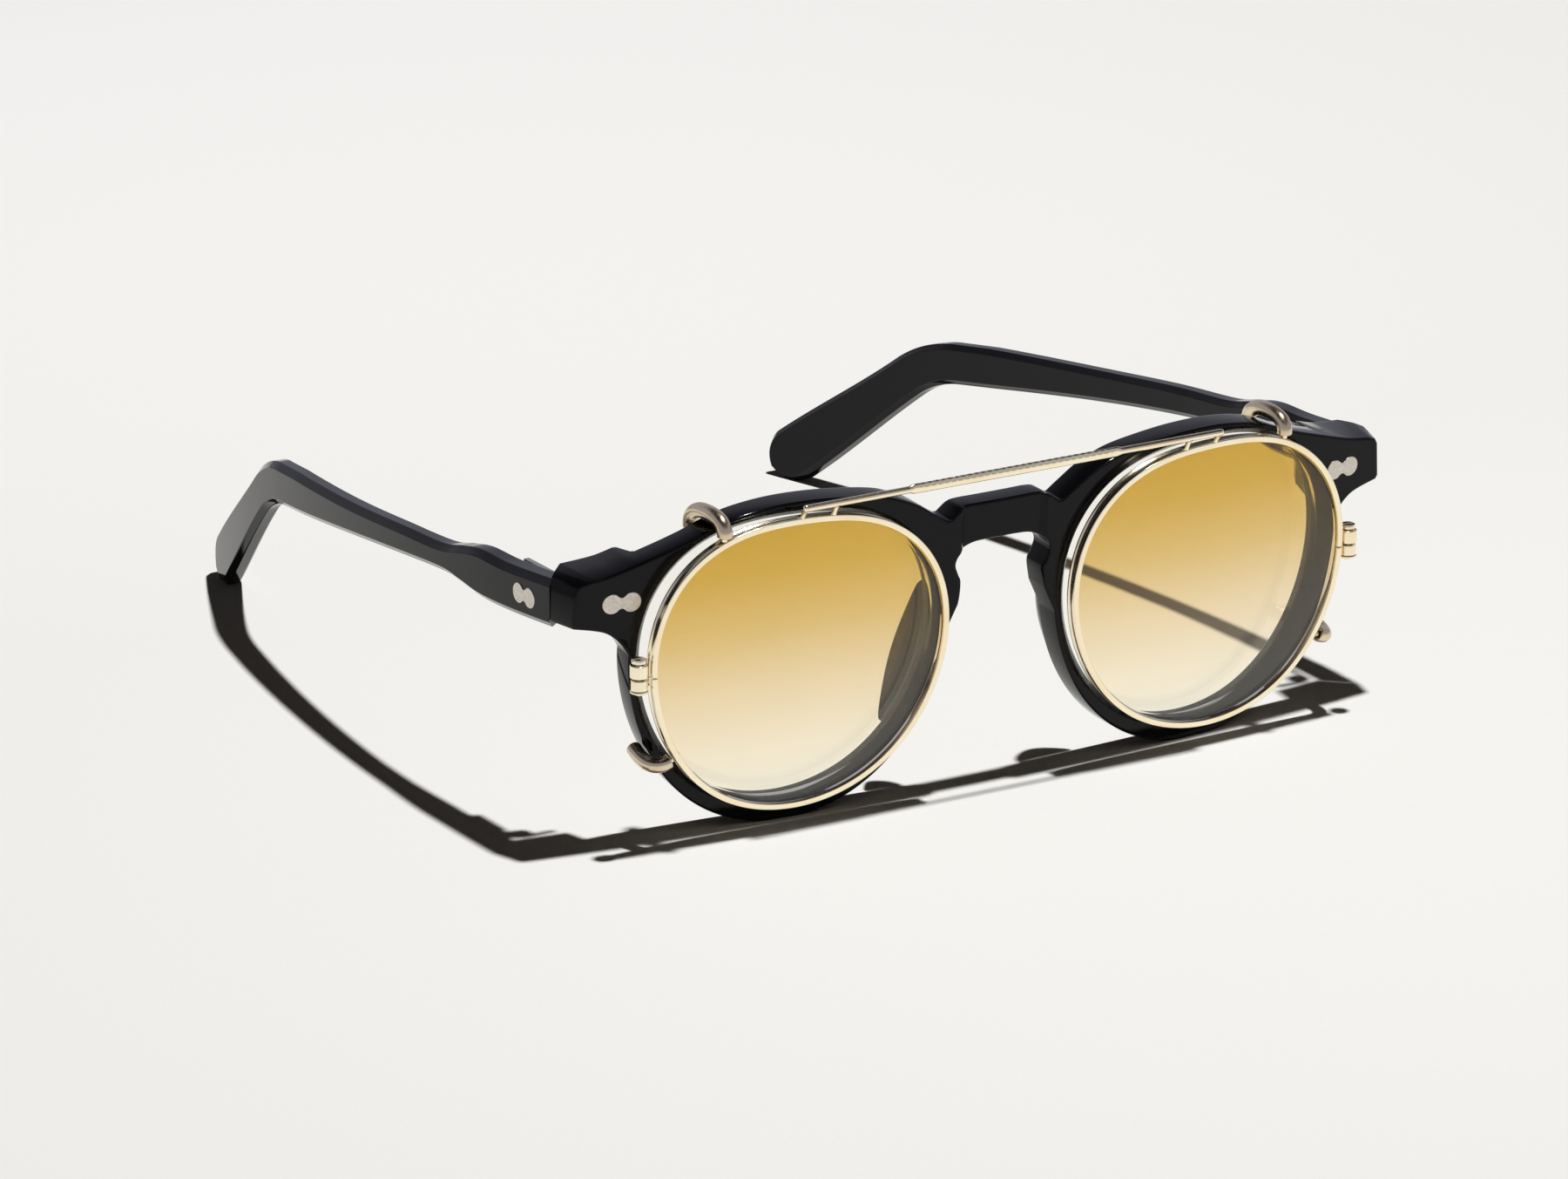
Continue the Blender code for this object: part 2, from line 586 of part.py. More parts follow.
def build_hinge(tag, side, front, temple, mat, screw_mat, pivot):
    """A riveted three-knuckle hinge: two knuckles on the front leaf, one on the temple leaf."""
    x, y, z = side * HINGE_X, HINGE_Y, HINGE_Z
    pitch = KNUCKLE_HEIGHT + GAP
    leaf_top, leaf_low = z + 2.7, z - 2.7
    front_leaf = add_block("front_hinge_leaf_" + tag, (x - side * 4.4, y - 1.75, leaf_low),
                           (x, y - 0.95, leaf_top), mat)
    for i in (-1, 1):
        low = (x, y, z + i * pitch - KNUCKLE_HEIGHT / 2)
        boolean(front_leaf, add_cylinder("front_knuckle_%s%d" % (tag, i), low, KNUCKLE_HEIGHT,
                                         KNUCKLE, 0, mat), "UNION")
    boolean(front_leaf, add_cylinder("front_leaf_bore_" + tag, (x, y, z - 4), 8, KNUCKLE_BORE, 0,
                                     mat), "DIFFERENCE")
    # room in the front leaf for the temple's knuckle
    boolean(front_leaf, add_cylinder("front_leaf_room_" + tag,
                                     (x, y, z - KNUCKLE_HEIGHT / 2 - GAP),
                                     KNUCKLE_HEIGHT + 2 * GAP, KNUCKLE + 0.25, 0, mat),
            "DIFFERENCE")
    temple_leaf = add_block("temple_hinge_leaf_" + tag,
                            (x + side * 0.8, y, z - KNUCKLE_HEIGHT / 2),
                            (x + side * KNUCKLE, y + 3.0, z + KNUCKLE_HEIGHT / 2), mat, pivot)
    plate = add_block("temple_plate_" + tag, (x + side * 0.8, y + 2.4, leaf_low + 0.4),
                      (x + side * 1.6, y + 9.5, leaf_top - 0.4), mat, pivot)
    boolean(temple_leaf, plate, "UNION")
    boolean(temple_leaf, add_cylinder("temple_knuckle_" + tag, (x, y, z - KNUCKLE_HEIGHT / 2),
                                      KNUCKLE_HEIGHT, KNUCKLE, 0, mat, pivot), "UNION")
    boolean(temple_leaf, add_cylinder("temple_leaf_bore_" + tag, (x, y, z - 4), 8, KNUCKLE_BORE,
                                      0, mat, pivot), "DIFFERENCE")
    total = 3 * KNUCKLE_HEIGHT + 2 * GAP
    screw = add_cylinder("hinge_screw_" + tag, (x, y, z - total / 2), total + 0.5, 0.55, 0,
                         screw_mat)
    head = add_cylinder("hinge_screw_head_" + tag, (x, y, z + total / 2 + GAP), 0.7, 1.25, 0,
                        screw_mat)
    boolean(screw, head, "UNION")
    slot = add_block("hinge_screw_slot_" + tag, (x - 2, y - 0.15, z + total / 2 + 0.75),
                     (x + 2, y + 0.15, z + total / 2 + 2), screw_mat)
    boolean(screw, slot, "DIFFERENCE")
    return front_leaf, temple_leaf, screw


def build_nose_pad(side):
    """A pad cemented behind the nose side of a rim: a fin that flares away from the nose."""
    share = np.linspace(0.0, 1.0, 11)
    angle = np.radians(166 + 54 * share)
    reach = 0.5 + 3.3 * np.sin(np.pi * share) ** 0.7
    start = FRONT_DEPTH + GAP
    rings = []
    for t, d in zip(angle, reach):
        profile = [(1.5, 0), (1.5 - 0.25 * d, 0.7 * d), (1.1 - 0.55 * d, d),
                   (0.5 - 0.6 * d, d), (-0.1 - 0.45 * d, 0.7 * d), (0.1, 0)]
        out = np.array([p[0] for p in profile])
        deep = start + np.array([p[1] for p in profile])
        s, h = lens_point(t, out, side)
        rings.append(face_to_world(s, h, deep))
    return rings


# ---------------------------------------------------------------- clip-on

def clip_to_world(side):
    """Flat (a, b, w) on one clip lens to world: a out, b up, w back, around its middle."""
    def convert(a, b, w):
        a, b, w = np.broadcast_arrays(np.asarray(a, float), b, w)
        x = LENS_SPACING_HALF + a * np.cos(CLIP_WRAP) - w * np.sin(CLIP_WRAP)
        back = a * np.sin(CLIP_WRAP) + w * np.cos(CLIP_WRAP)
        y = CLIP_Y + back * np.cos(CLIP_LEAN) - b * np.sin(CLIP_LEAN)
        z = LENS_HEIGHT + b * np.cos(CLIP_LEAN) + back * np.sin(CLIP_LEAN)
        return np.stack([side * x, y, z], -1)
    return convert


def clip_rim_rings(side, stations=ROUND + 1):
    """The eyewire: a grooved strip carried round the lens outline, open at its closing block."""
    half_gap = np.arcsin(0.5 * GAP / LENS_RADIUS)
    t = SPLIT_ANGLE + np.linspace(half_gap, 2 * np.pi - half_gap, stations)
    width, depth = WIRE_HALF_WIDTH, WIRE_HALF_DEPTH
    profile = [(width, -depth), (width, depth), (-width, depth), (-width, 0.45), (0.05, 0.0),
               (-width, -0.45), (-width, -depth)]
    to_world = clip_to_world(side)
    rings = []
    for out, deep in profile:
        r = lens_radius(t) + out
        rings.append(to_world(r * np.cos(t), r * np.sin(t), deep + 0 * t))
    return np.array(rings).transpose(1, 0, 2)


def build_lock(tag, side, mat, screw_mat, pivot):
    """The closing block of a clip rim: two short barrels, one on each end of the eyewire."""
    to_world = clip_to_world(side)
    r = lens_radius(SPLIT_ANGLE) + WIRE_HALF_WIDTH + GAP + 1.3
    x, y, z = to_world(r * np.cos(SPLIT_ANGLE), r * np.sin(SPLIT_ANGLE), 0.0)
    add_cylinder("rim_lock_upper_" + tag, (x, y, z + 0.15), 1.9, 1.3, 0.75, mat, pivot, 16)
    add_cylinder("rim_lock_lower_" + tag, (x, y, z - 2.05), 1.9, 1.3, 0.75, mat, pivot, 16)
    screw = add_cylinder("rim_lock_screw_" + tag, (x, y, z - 2.4), 5.0, 0.5, 0, screw_mat, pivot,
                         12)
    head = add_cylinder("rim_lock_head_" + tag, (x, y, z + 2.3), 0.6, 1.05, 0, screw_mat, pivot,
                        16)
    boolean(screw, head, "UNION")
    slot = add_block("rim_lock_slot_" + tag, (x - 2, y - 0.15, z + 2.65),
                     (x + 2, y + 0.15, z + 4), screw_mat, pivot)
    boolean(screw, slot, "DIFFERENCE")


def build_bar(mat, pivot):
    """The brow bar: a round rod, flattened in the middle, that stands on short posts."""
    half = np.array([BAR_END, BAR_END - 0.4, 28.0, 22.0, 17.6, 16.6, 12.0, 6.0])
    x = np.concatenate([-half, [0.0], half[::-1]])
    flat = 1 - ramp(np.abs(x), 16.6, 17.6)
    high = (0.5 + 0.22 * flat) * np.where(np.abs(x) > BAR_END - 0.1, 0.6, 1.0)
    deep = (0.5 - 0.12 * flat) * np.where(np.abs(x) > BAR_END - 0.1, 0.6, 1.0)
    a = np.arange(8) * 2 * np.pi / 8
    rings = [[(xi, BAR_Y + d * np.cos(q), BAR_Z + h * np.sin(q)) for q in a]
             for xi, d, h in zip(x, deep, high)]
    bar = add_loft("clip_bar", rings, mat, pivot)
    for i, place in enumerate((-BAR_END + 0.6, -BAR_POST, BAR_POST, BAR_END - 0.6)):
        to_world = clip_to_world(np.sign(place))
        offset = abs(place) - LENS_SPACING_HALF
        t = np.pi / 2 - np.arctan2(offset, LENS_RADIUS)
        foot = to_world(offset, (lens_radius(t) + WIRE_HALF_WIDTH + GAP) * np.sin(t), -0.35)
        post = add_tube("bar_post%d" % i, [foot, (place, BAR_Y, BAR_Z)], 0.42, mat, pivot, 8)
        boolean(bar, post, "UNION")
    return bar


def top_hook_path(side):
    """From the top of the clip rim up, over the acetate and down behind it."""
    route = [(-20.9, 43.95), (-21.1, 44.6), (-21.0, 45.4), (-20.2, 46.3), (-18.6, 46.75),
             (-16.6, 46.85), (-14.4, 46.6), (-12.7, 45.8), (-11.9, 44.7), (-11.8, 43.6)]
    return np.array([(side * TOP_HOOK_X, y, z) for y, z in route])


def low_hook_path(side):
    """From the lower side of the clip rim outwards, then back past the side of the acetate:
    (angle, radius, depth) about the middle of the clip lens."""
    route = [(-31, 23.05, -0.2), (-31, 23.6, -0.2), (-30.6, 24.5, -0.1), (-30.1, 25.3, 0.5),
             (-29.5, 25.8, 1.6), (-28.8, 25.9, 2.9), (-28.1, 25.8, 4.2), (-27.4, 25.6, 5.3)]
    angle, radius, depth = np.array(route).T
    angle = np.radians(angle)
    return clip_to_world(side)(radius * np.cos(angle), radius * np.sin(angle), depth)


def build_hook(name, path, wire_mat, sleeve_mat, pivot):
    """A hook: its wire, which starts at the rim, and the sleeve over it, open at both ends."""
    add_tube(name + "_wire", path, HOOK_WIRE, wire_mat, pivot, 6)
    add_sleeve(name + "_sleeve", path[1:], HOOK_SLEEVE, HOOK_SLEEVE_BORE, sleeve_mat, pivot, 8)


# ---------------------------------------------------------------- the object

def main():
    for obj in list(bpy.data.objects):
        bpy.data.objects.remove(obj, do_unlink=True)

    acetate = material("black_acetate", (0.012, 0.012, 0.016), 0.12)
    clear = material("clear_lens", (0.95, 0.96, 0.95), 0.02, 0.0, 0.95)
    silver = material("satin_nickel_rivet", (0.62, 0.60, 0.58), 0.4, 1.0)
    steel = material("hinge_steel", (0.5, 0.5, 0.5), 0.35, 1.0)
    gold = material("pale_gold_plate", (0.85, 0.66, 0.38), 0.18, 1.0)
    tint = material("amber_gradient_lens", (0.85, 0.62, 0.2), 0.03, 0.0, 0.9)
    sleeve = material("champagne_sleeve", (0.72, 0.55, 0.4), 0.3, 0.6)

    front = build_front(acetate)
    clip = add_pivot("clip_tilt_axis", (0, CLIP_AXIS_Y, CLIP_AXIS_Z))
    build_bar(gold, clip)
    for tag, side in SIDES:
        hinge = add_pivot("temple_axis_" + tag, (side * HINGE_X, HINGE_Y, HINGE_Z))
        temple = build_temple(tag, side, acetate, steel, hinge)
        add_loft("frame_lens_" + tag, build_frame_lens(side), clear)
        add_loft("nose_pad_" + tag, build_nose_pad(side), acetate)
        build_hinge(tag, side, front, temple, steel, steel, hinge)

        at = face_to_world(side * FRONT_RIVET_S, FRONT_RIVET_H, 0.0)
        across = face_to_world(side * (FRONT_RIVET_S + 1), FRONT_RIVET_H, 0.0) - at
        back = face_to_world(side * FRONT_RIVET_S, FRONT_RIVET_H, 1.0) - at
        add_rivet("front_rivet_" + tag, front, at, across, (0, -np.sin(LEAN), np.cos(LEAN)),
                  back, END_BLOCK_DEPTH - 0.3, silver)
        y = TEMPLE_RIVET_Y
        run = (side * (temple_outside_x(y + 1) - temple_outside_x(y - 1)), 2.0, 0.0)
        add_rivet("temple_rivet_" + tag, temple, (side * temple_outside_x(y), y, TEMPLE_RIVET_Z),
                  run, (0, 0, 1), np.cross(run, (0, 0, 1)) * -side, 3.8, silver, hinge)

        add_loft("clip_rim_" + tag, clip_rim_rings(side), gold, clip)
        add_loft("clip_lens_" + tag, lens_rings(0.05 - GAP, -0.6, 1.0, 1.3, 0.0,
                                                clip_to_world(side)), tint, clip)
        build_lock(tag, side, gold, gold, clip)
        build_hook("top_hook_" + tag, top_hook_path(side), gold, sleeve, clip)
        build_hook("low_hook_" + tag, low_hook_path(side), gold, sleeve, clip)


main()
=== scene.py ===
"""Looks of the round acetate glasses and their hooked clip-on sun lenses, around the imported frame.

Sizes are millimetres from the front's datum, as in the part's source; to_frame takes them to
metres in the frame.  The front is drawn flat as (s, h, w): s along it, h up, w back from its face.
"""
import json
import bpy
import bmesh
import numpy as np
from math import radians
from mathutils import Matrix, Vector
from mathutils.geometry import delaunay_2d_cdt


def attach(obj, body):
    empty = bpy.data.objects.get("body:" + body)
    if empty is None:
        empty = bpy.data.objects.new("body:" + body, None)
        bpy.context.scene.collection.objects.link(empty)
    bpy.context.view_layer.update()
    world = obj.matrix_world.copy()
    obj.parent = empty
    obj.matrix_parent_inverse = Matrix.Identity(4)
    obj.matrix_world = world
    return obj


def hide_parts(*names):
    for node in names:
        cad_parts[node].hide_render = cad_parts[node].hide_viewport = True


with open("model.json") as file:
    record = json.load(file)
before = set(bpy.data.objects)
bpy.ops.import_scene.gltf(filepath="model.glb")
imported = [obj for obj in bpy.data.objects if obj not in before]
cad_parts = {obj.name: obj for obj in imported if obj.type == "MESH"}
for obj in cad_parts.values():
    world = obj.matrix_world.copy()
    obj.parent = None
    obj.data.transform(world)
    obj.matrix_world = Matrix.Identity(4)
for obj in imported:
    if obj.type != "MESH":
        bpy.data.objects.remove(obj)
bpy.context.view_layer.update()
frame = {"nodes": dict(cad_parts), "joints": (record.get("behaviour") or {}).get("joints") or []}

SIDES = (("left", -1.0), ("right", 1.0))

# Acetate front
LENS_SPACING_HALF, LENS_HEIGHT = 34.0, 24.6
LENS_RADIUS = 22.34
ROUND = 240                     # stations round a lens outline
BASE_CURVE = 441.0
LEAN = radians(3.3)
FRONT_FACE_Y = -18.0
FRONT_DEPTH, END_BLOCK_DEPTH = 4.7, 8.4
OPENING_IN = 0.2
GROOVE_DEPTH, GROOVE_OUT = 2.3, 0.6
RIM_OUT, RIM_OUT_BELOW = 1.8, 1.5
BRIDGE_RECESS = 0.8
RECESS_STEP = (6.3, 7.1)        # the slanted wall of the recess in the bridge, along s
BLOCK_STEP = (56.8, 58.0)       # the step to the deep end piece, along s
BLOCK_RISE = (30.2, 31.4)       # and up it
END_FLARE = 0.45
FRONT_RIVET_S, FRONT_RIVET_H = 60.1, 35.6
GAP = 0.3

# Temples
SEAM_X, SEAM_Y, SEAM_ANGLE = 68.1, -10.5, radians(43)
HINGE_Y = -5.0                  # hinge axis, from the datum
TEMPLE_BOW, TEMPLE_INWARD, TEMPLE_RUN = 5.3, 17.5, 130.4
BEND_Y, BEND_Z, BEND_RADIUS = 89.2, 25.25, 22.6
SHAFT_ANGLE, TIP_ANGLE = radians(-6.6), radians(-36.9)
TIP_LENGTH, TIP_ROUND = 35.4, 4.2
TIP_SHORT = 0.06                # keeps the round end inside the CAD's facets
BEND_HEIGHT = (6.2, 6.5)        # height of the temple where the bend starts and ends
TEMPLE_THICK, TEMPLE_THINS = 4.0, 0.6
TEMPLE_RIVET_Y, TEMPLE_RIVET_Z = -3.4, 34.8

# Clip-on
CLIP_Y, CLIP_WRAP, CLIP_LEAN = -20.1, radians(2.5), radians(2.76)
WIRE_HALF_WIDTH, WIRE_HALF_DEPTH = 0.44, 0.9
SPLIT_ANGLE = radians(2.0)
TOP_HOOK_X = 46.4
HOOK_WIRE, HOOK_SLEEVE, HOOK_BORE = 0.5, 1.1, 0.8       # radii
HOOK_LIP, HOOK_DOME = 0.15, 0.55                        # reach of the sleeve's two ends
HOOK_BARE = 8                   # stations of wire below the sleeve
BAR_END, BAR_POST = 34.8, 29.2
BAR_Y, BAR_Z = -22.9, 47.1
BAR_RADIUS = 0.5
BAR_FLAT = (16.6, 17.8)         # where its flattened middle runs out
ORNAMENT_PITCH, ORNAMENT_CUT = 2.2, 0.11
LOCK_BORE, LOCK_WALL = 0.75, 1.3                        # radii of its barrels
LOCK_LOW, LOCK_HIGH = 0.15, 2.05                        # ends of a barrel, from the split

# Rivet plaques
LOBE_SPACING, LOBE_RADIUS, WAIST = 2.9, 1.45, 0.8
PLAQUE_PROUD, PLAQUE_SKIRT = 0.12, 0.6

JOINT_PLACE = {joint["name"]: joint["pos_m"] for joint in frame["joints"]}
ORIGIN_BACK = HINGE_Y - 1000 * JOINT_PLACE["temple_right_fold"][1]


def to_frame(points):
    """Millimetres from the datum to metres in the frame: back by ORIGIN_BACK, over 1000."""
    return (np.asarray(points, float) - (0.0, ORIGIN_BACK, 0.0)) * 0.001


# ---------------------------------------------------------------- materials

def colour(code):
    """An sRGB hex colour as linear RGBA: c/12.92 when dark, else ((c + 0.055)/1.055)^2.4."""
    c = np.array([int(code[i:i + 2], 16) for i in (1, 3, 5)]) / 255
    return (*np.where(c <= 0.04045, c / 12.92, ((c + 0.055) / 1.055) ** 2.4), 1.0)


def add_node(tree, kind, settings, inputs):
    """A node with its settings; each input is a value, or (node, output name) to link from."""
    made = tree.nodes.new("ShaderNode" + kind)
    for name, value in settings.items():
        setattr(made, name, value)
    for name, value in inputs.items():
        if isinstance(value, tuple) and isinstance(value[0], bpy.types.Node):
            tree.links.new(value[0].outputs[value[1]], made.inputs[name])
        else:
            made.inputs[name].default_value = value
    return made


def per_mm(size):
    """Texture scale, in repeats per metre, for a feature of this size in millimetres."""
    return 1000.0 / size


def new_material(name, **constants):
    """A material with its Principled shader, whose constant inputs are given by name."""
    mat = bpy.data.materials.new(name)
    mat.use_nodes = True
    tree = mat.node_tree
    shader = tree.nodes["Principled BSDF"]
    for key, value in constants.items():
        shader.inputs[key.replace("_", " ")].default_value = value
    return mat, tree, shader


def noise(tree, place, size, detail=2.0, stretch=(1.0, 1.0, 1.0)):
    """Noise with features of this size in mm, stretched by shrinking its coordinates."""
    mapped = add_node(tree, "Mapping", {}, {"Vector": place, "Scale": stretch})
    return add_node(tree, "TexNoise", {}, {"Vector": (mapped, "Vector"), "Scale": per_mm(size),
                                           "Detail": detail})


def finish_surface(tree, shader, place, tones, tone_size, rough, grain_size, bump, stretch):
    """Common wiring of a finish: noise between two tones, noise between two roughnesses, and a
    grain that is both a little bump and, for a brushed metal, stretched along its brushing."""
    cloud = noise(tree, place, tone_size)
    grain = noise(tree, place, grain_size, 3.0, stretch)
    ramp_node = add_node(tree, "ValToRGB", {}, {"Fac": (cloud, "Fac")})
    ramp_node.color_ramp.elements[0].position, ramp_node.color_ramp.elements[1].position = 0.3, 0.7
    for element, tone in zip(ramp_node.color_ramp.elements, tones):
        element.color = colour(tone)
    level = add_node(tree, "MapRange", {}, {"Value": (grain, "Fac"), "From Min": 0.3,
                                            "From Max": 0.7, "To Min": rough[0],
                                            "To Max": rough[1]})
    height = add_node(tree, "Bump", {}, {"Height": (grain, "Fac"), "Strength": bump[0],
                                         "Distance": bump[1] * 0.001})
    tree.links.new(ramp_node.outputs["Color"], shader.inputs["Base Color"])
    tree.links.new(level.outputs["Result"], shader.inputs["Roughness"])
    tree.links.new(height.outputs["Normal"], shader.inputs["Normal"])


def polished_acetate():
    """Cellulose acetate sheet, cut and tumble-polished: near black, glossy, with the slight
    waviness that tumbling leaves."""
    mat, tree, shader = new_material("polished_black_acetate", IOR=1.49, Specular_IOR_Level=0.17)
    place = (add_node(tree, "TexCoord", {}, {}), "Object")
    finish_surface(tree, shader, place, ("#08080A", "#0D0D11"), 7.0, (0.05, 0.1), 2.4,
                   (0.06, 0.02), (1.0, 1.0, 1.0))
    return mat


def plated_gold():
    """Nickel-silver wire, drawn, polished and plated in pale gold: warm, bright, faintly
    drawn along its length."""
    mat, tree, shader = new_material("pale_gold_plated_wire", Metallic=1.0)
    place = (add_node(tree, "TexCoord", {}, {}), "Object")
    finish_surface(tree, shader, place, ("#FFF5DA", "#FDEBC8"), 5.0, (0.15, 0.22), 0.25,
                   (0.12, 0.01), (1.0, 1.0, 1.0))
    return mat


def satin_sleeve():
    """Champagne-coloured metal tube, satin finished along its length: soft light and dark
    bands."""
    mat, tree, shader = new_material("satin_champagne_tube", Metallic=1.0)
    place = (add_node(tree, "TexCoord", {}, {}), "Object")
    finish_surface(tree, shader, place, ("#E8D8BE", "#D8C4A6"), 3.0, (0.2, 0.3), 0.2,
                   (0.25, 0.012), (1.0, 0.3, 0.3))
    return mat


def satin_nickel():
    """Nickel rivet plaques, milled flat with the acetate and satin polished: pale grey with a
    fine mottled grain."""
    mat, tree, shader = new_material("satin_nickel_plaque", Metallic=1.0)
    place = (add_node(tree, "TexCoord", {}, {}), "Object")
    finish_surface(tree, shader, place, ("#E0D9CF", "#CCC4B9"), 0.5, (0.36, 0.5), 0.12,
                   (0.35, 0.015), (1.0, 1.0, 1.0))
    return mat


def hinge_steel():
    """Stainless steel, stamped and turned: neutral grey, brushed."""
    mat, tree, shader = new_material("stamped_stainless_steel", Metallic=1.0)
    place = (add_node(tree, "TexCoord", {}, {}), "Object")
    finish_surface(tree, shader, place, ("#C6C6C4", "#B2B2B1"), 2.0, (0.25, 0.38), 0.15,
                   (0.25, 0.01), (1.0, 1.0, 0.25))
    return mat


def gradient_lens():
    """Nylon sun lens, dip-dyed from amber at the top to almost clear at the bottom.  The dye's
    depth follows height in the lens, with a little unevenness from the dye bath."""
    mat, tree, shader = new_material("amber_dipped_nylon_lens", IOR=1.5, Transmission_Weight=1.0,
                                     Roughness=0.0)
    place = add_node(tree, "TexCoord", {}, {})
    height = add_node(tree, "SeparateXYZ", {}, {"Vector": (place, "Object")})
    low = (LENS_HEIGHT - LENS_RADIUS) * 0.001
    high = (LENS_HEIGHT + LENS_RADIUS) * 0.001
    uneven = noise(tree, (place, "Object"), 18.0, 1.0)
    shift = add_node(tree, "MapRange", {}, {"Value": (uneven, "Fac"), "To Min": -0.0006,
                                            "To Max": 0.0006})
    level = add_node(tree, "Math", {"operation": "ADD"}, {0: (height, "Z"), 1: (shift, "Result")})
    share = add_node(tree, "MapRange", {}, {"Value": (level, "Value"), "From Min": low,
                                            "From Max": high})
    dye = add_node(tree, "ValToRGB", {}, {"Fac": (share, "Result")})
    ramp_stops = dye.color_ramp.elements
    for position, tone in DYE:
        element = ramp_stops.new(position)
        element.color = colour(tone)
    ramp_stops.remove(ramp_stops[0])
    ramp_stops.remove(ramp_stops[-1])
    tree.links.new(dye.outputs["Color"], shader.inputs["Base Color"])
    return mat


DYE = ((0.02, "#FFFAEC"), (0.22, "#FFF3DA"), (0.42, "#F7E1B8"), (0.62, "#E8C77C"),
       (0.8, "#DCB24A"), (0.98, "#D4A82E"))


def demo_lens():
    """Clear demonstration lens, cast polycarbonate with a hard coat: colourless, with a barely
    uneven coat."""
    mat, tree, shader = new_material("clear_coated_lens", IOR=1.5, Transmission_Weight=1.0)
    place = (add_node(tree, "TexCoord", {}, {}), "Object")
    coat = noise(tree, place, 9.0)
    tone = add_node(tree, "ValToRGB", {}, {"Fac": (coat, "Fac")})
    tone.color_ramp.elements[0].color = colour("#FAFCFB")
    tone.color_ramp.elements[1].color = colour("#FFFFFE")
    level = add_node(tree, "MapRange", {}, {"Value": (coat, "Fac"), "To Min": 0.0,
                                            "To Max": 0.012})
    tree.links.new(tone.outputs["Color"], shader.inputs["Base Color"])
    tree.links.new(level.outputs["Result"], shader.inputs["Roughness"])
    return mat


def studio_paper():
    """Matt paper sweep: warm white, with painted light that makes it whiter towards the back,
    and a fibre grain too fine to see, drawn at 0.8 mm."""
    mat, tree, shader = new_material("matt_paper", Roughness=0.9, Specular_IOR_Level=0.1)
    place = (add_node(tree, "TexCoord", {}, {}), "Object")
    fibre = noise(tree, place, 0.8, 3.0)
    tone = add_node(tree, "ValToRGB", {}, {"Fac": (fibre, "Fac")})
    tone.color_ramp.elements[0].color = colour("#EDECE8")
    tone.color_ramp.elements[1].color = colour("#F1F0ED")
    axes = add_node(tree, "SeparateXYZ", {}, {"Vector": place})
    # painted light: from 0.05 m to 0.36 m back the paper's colour is mixed towards near white, a
    # painted brighter floor at the back
    far = add_node(tree, "MapRange", {}, {"Value": (axes, "Y"), "From Min": 0.05,
                                          "From Max": 0.36})
    lit = add_node(tree, "Mix", {"data_type": "RGBA"},
                   {"Factor": (far, "Result"), 6: (tone, "Color"), 7: colour("#FFFEFC")})
    tree.links.new(lit.outputs[2], shader.inputs["Base Color"])
    return mat


ACETATE = polished_acetate()
GOLD = plated_gold()
SLEEVE = satin_sleeve()
NICKEL = satin_nickel()
STEEL = hinge_steel()
AMBER = gradient_lens()
CLEAR = demo_lens()


# ---------------------------------------------------------------- meshes

def grid_faces(rows, columns, close_rows=False, close_columns=True, start=0):
    """Quads of a grid of points, row by row; either direction may close on itself."""
    i = np.arange(rows if close_rows else rows - 1)[:, None]
    j = np.arange(columns if close_columns else columns - 1)[None]
    here, there = i * columns, (i + 1) % rows * columns
    right = (j + 1) % columns
    quads = np.stack([here + j, here + right, there + right, there + j], -1)
    return (quads.reshape(-1, 4) + start).tolist()


def add_piece(name, points, faces, mat, body, slot, replaced=(), sharp=38.0, trims=()):
    """A finished piece from points in mm: doubles merged, trimmed flat by planes given as
    (point in mm, outward direction), faces outwards, riding on its body."""
    mesh = bpy.data.meshes.new(name)
    mesh.from_pydata(to_frame(points).tolist(), [], faces)
    bm = bmesh.new()
    bm.from_mesh(mesh)
    bmesh.ops.remove_doubles(bm, verts=bm.verts, dist=2e-7)
    for point, outward in trims:
        cut = bmesh.ops.bisect_plane(
            bm, geom=bm.verts[:] + bm.edges[:] + bm.faces[:], dist=1e-8,
            plane_co=Vector(to_frame(point)), plane_no=Vector(outward), clear_outer=True)
        edges = [e for e in cut["geom_cut"] if isinstance(e, bmesh.types.BMEdge)]
        bmesh.ops.holes_fill(bm, edges=edges)
    bmesh.ops.recalc_face_normals(bm, faces=bm.faces)
    bm.to_mesh(mesh)
    bm.free()
    mesh.materials.append(mat)
    mesh.shade_smooth()
    mesh.set_sharp_from_angle(angle=radians(sharp))
    piece = bpy.data.objects.new(name, mesh)
    bpy.context.scene.collection.objects.link(piece)
    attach(piece, body)
    if replaced:
        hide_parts(*replaced)
    return piece


def add_grid(name, rings, mat, body, slot, replaced=(), closed=False, **more):
    """A piece from rings of points: closed into a loop of rings, or capped at both ends."""
    rings = np.asarray(rings, float)
    rows, columns = rings.shape[:2]
    faces = grid_faces(rows, columns, close_rows=closed)
    if not closed:
        faces.append(list(range(columns)))
        faces.append(list(range((rows - 1) * columns, rows * columns)))
    return add_piece(name, rings.reshape(-1, 3), faces, mat, body, slot, replaced, **more)


def ramp(x, start, end):
    """0 before start, 1 after end, straight in between."""
    return np.clip((np.asarray(x, float) - start) / (end - start), 0.0, 1.0)


def smooth_through(points, steps):
    """Catmull-Rom curve through points, steps pieces between each two of them."""
    p = np.asarray(points, float)
    p = np.vstack([2 * p[0] - p[1], p, 2 * p[-1] - p[-2]])
    t = np.linspace(0, 1, steps, endpoint=False)[None, :, None]
    a, b, c, d = (p[i:len(p) - 3 + i, None] for i in range(4))
    curve = 0.5 * (2 * b + (c - a) * t + (2 * a - 5 * b + 4 * c - d) * t ** 2
                   + (3 * b - a - 3 * c + d) * t ** 3)
    return np.vstack([curve.reshape(-1, p.shape[1]), p[-2:-1]])


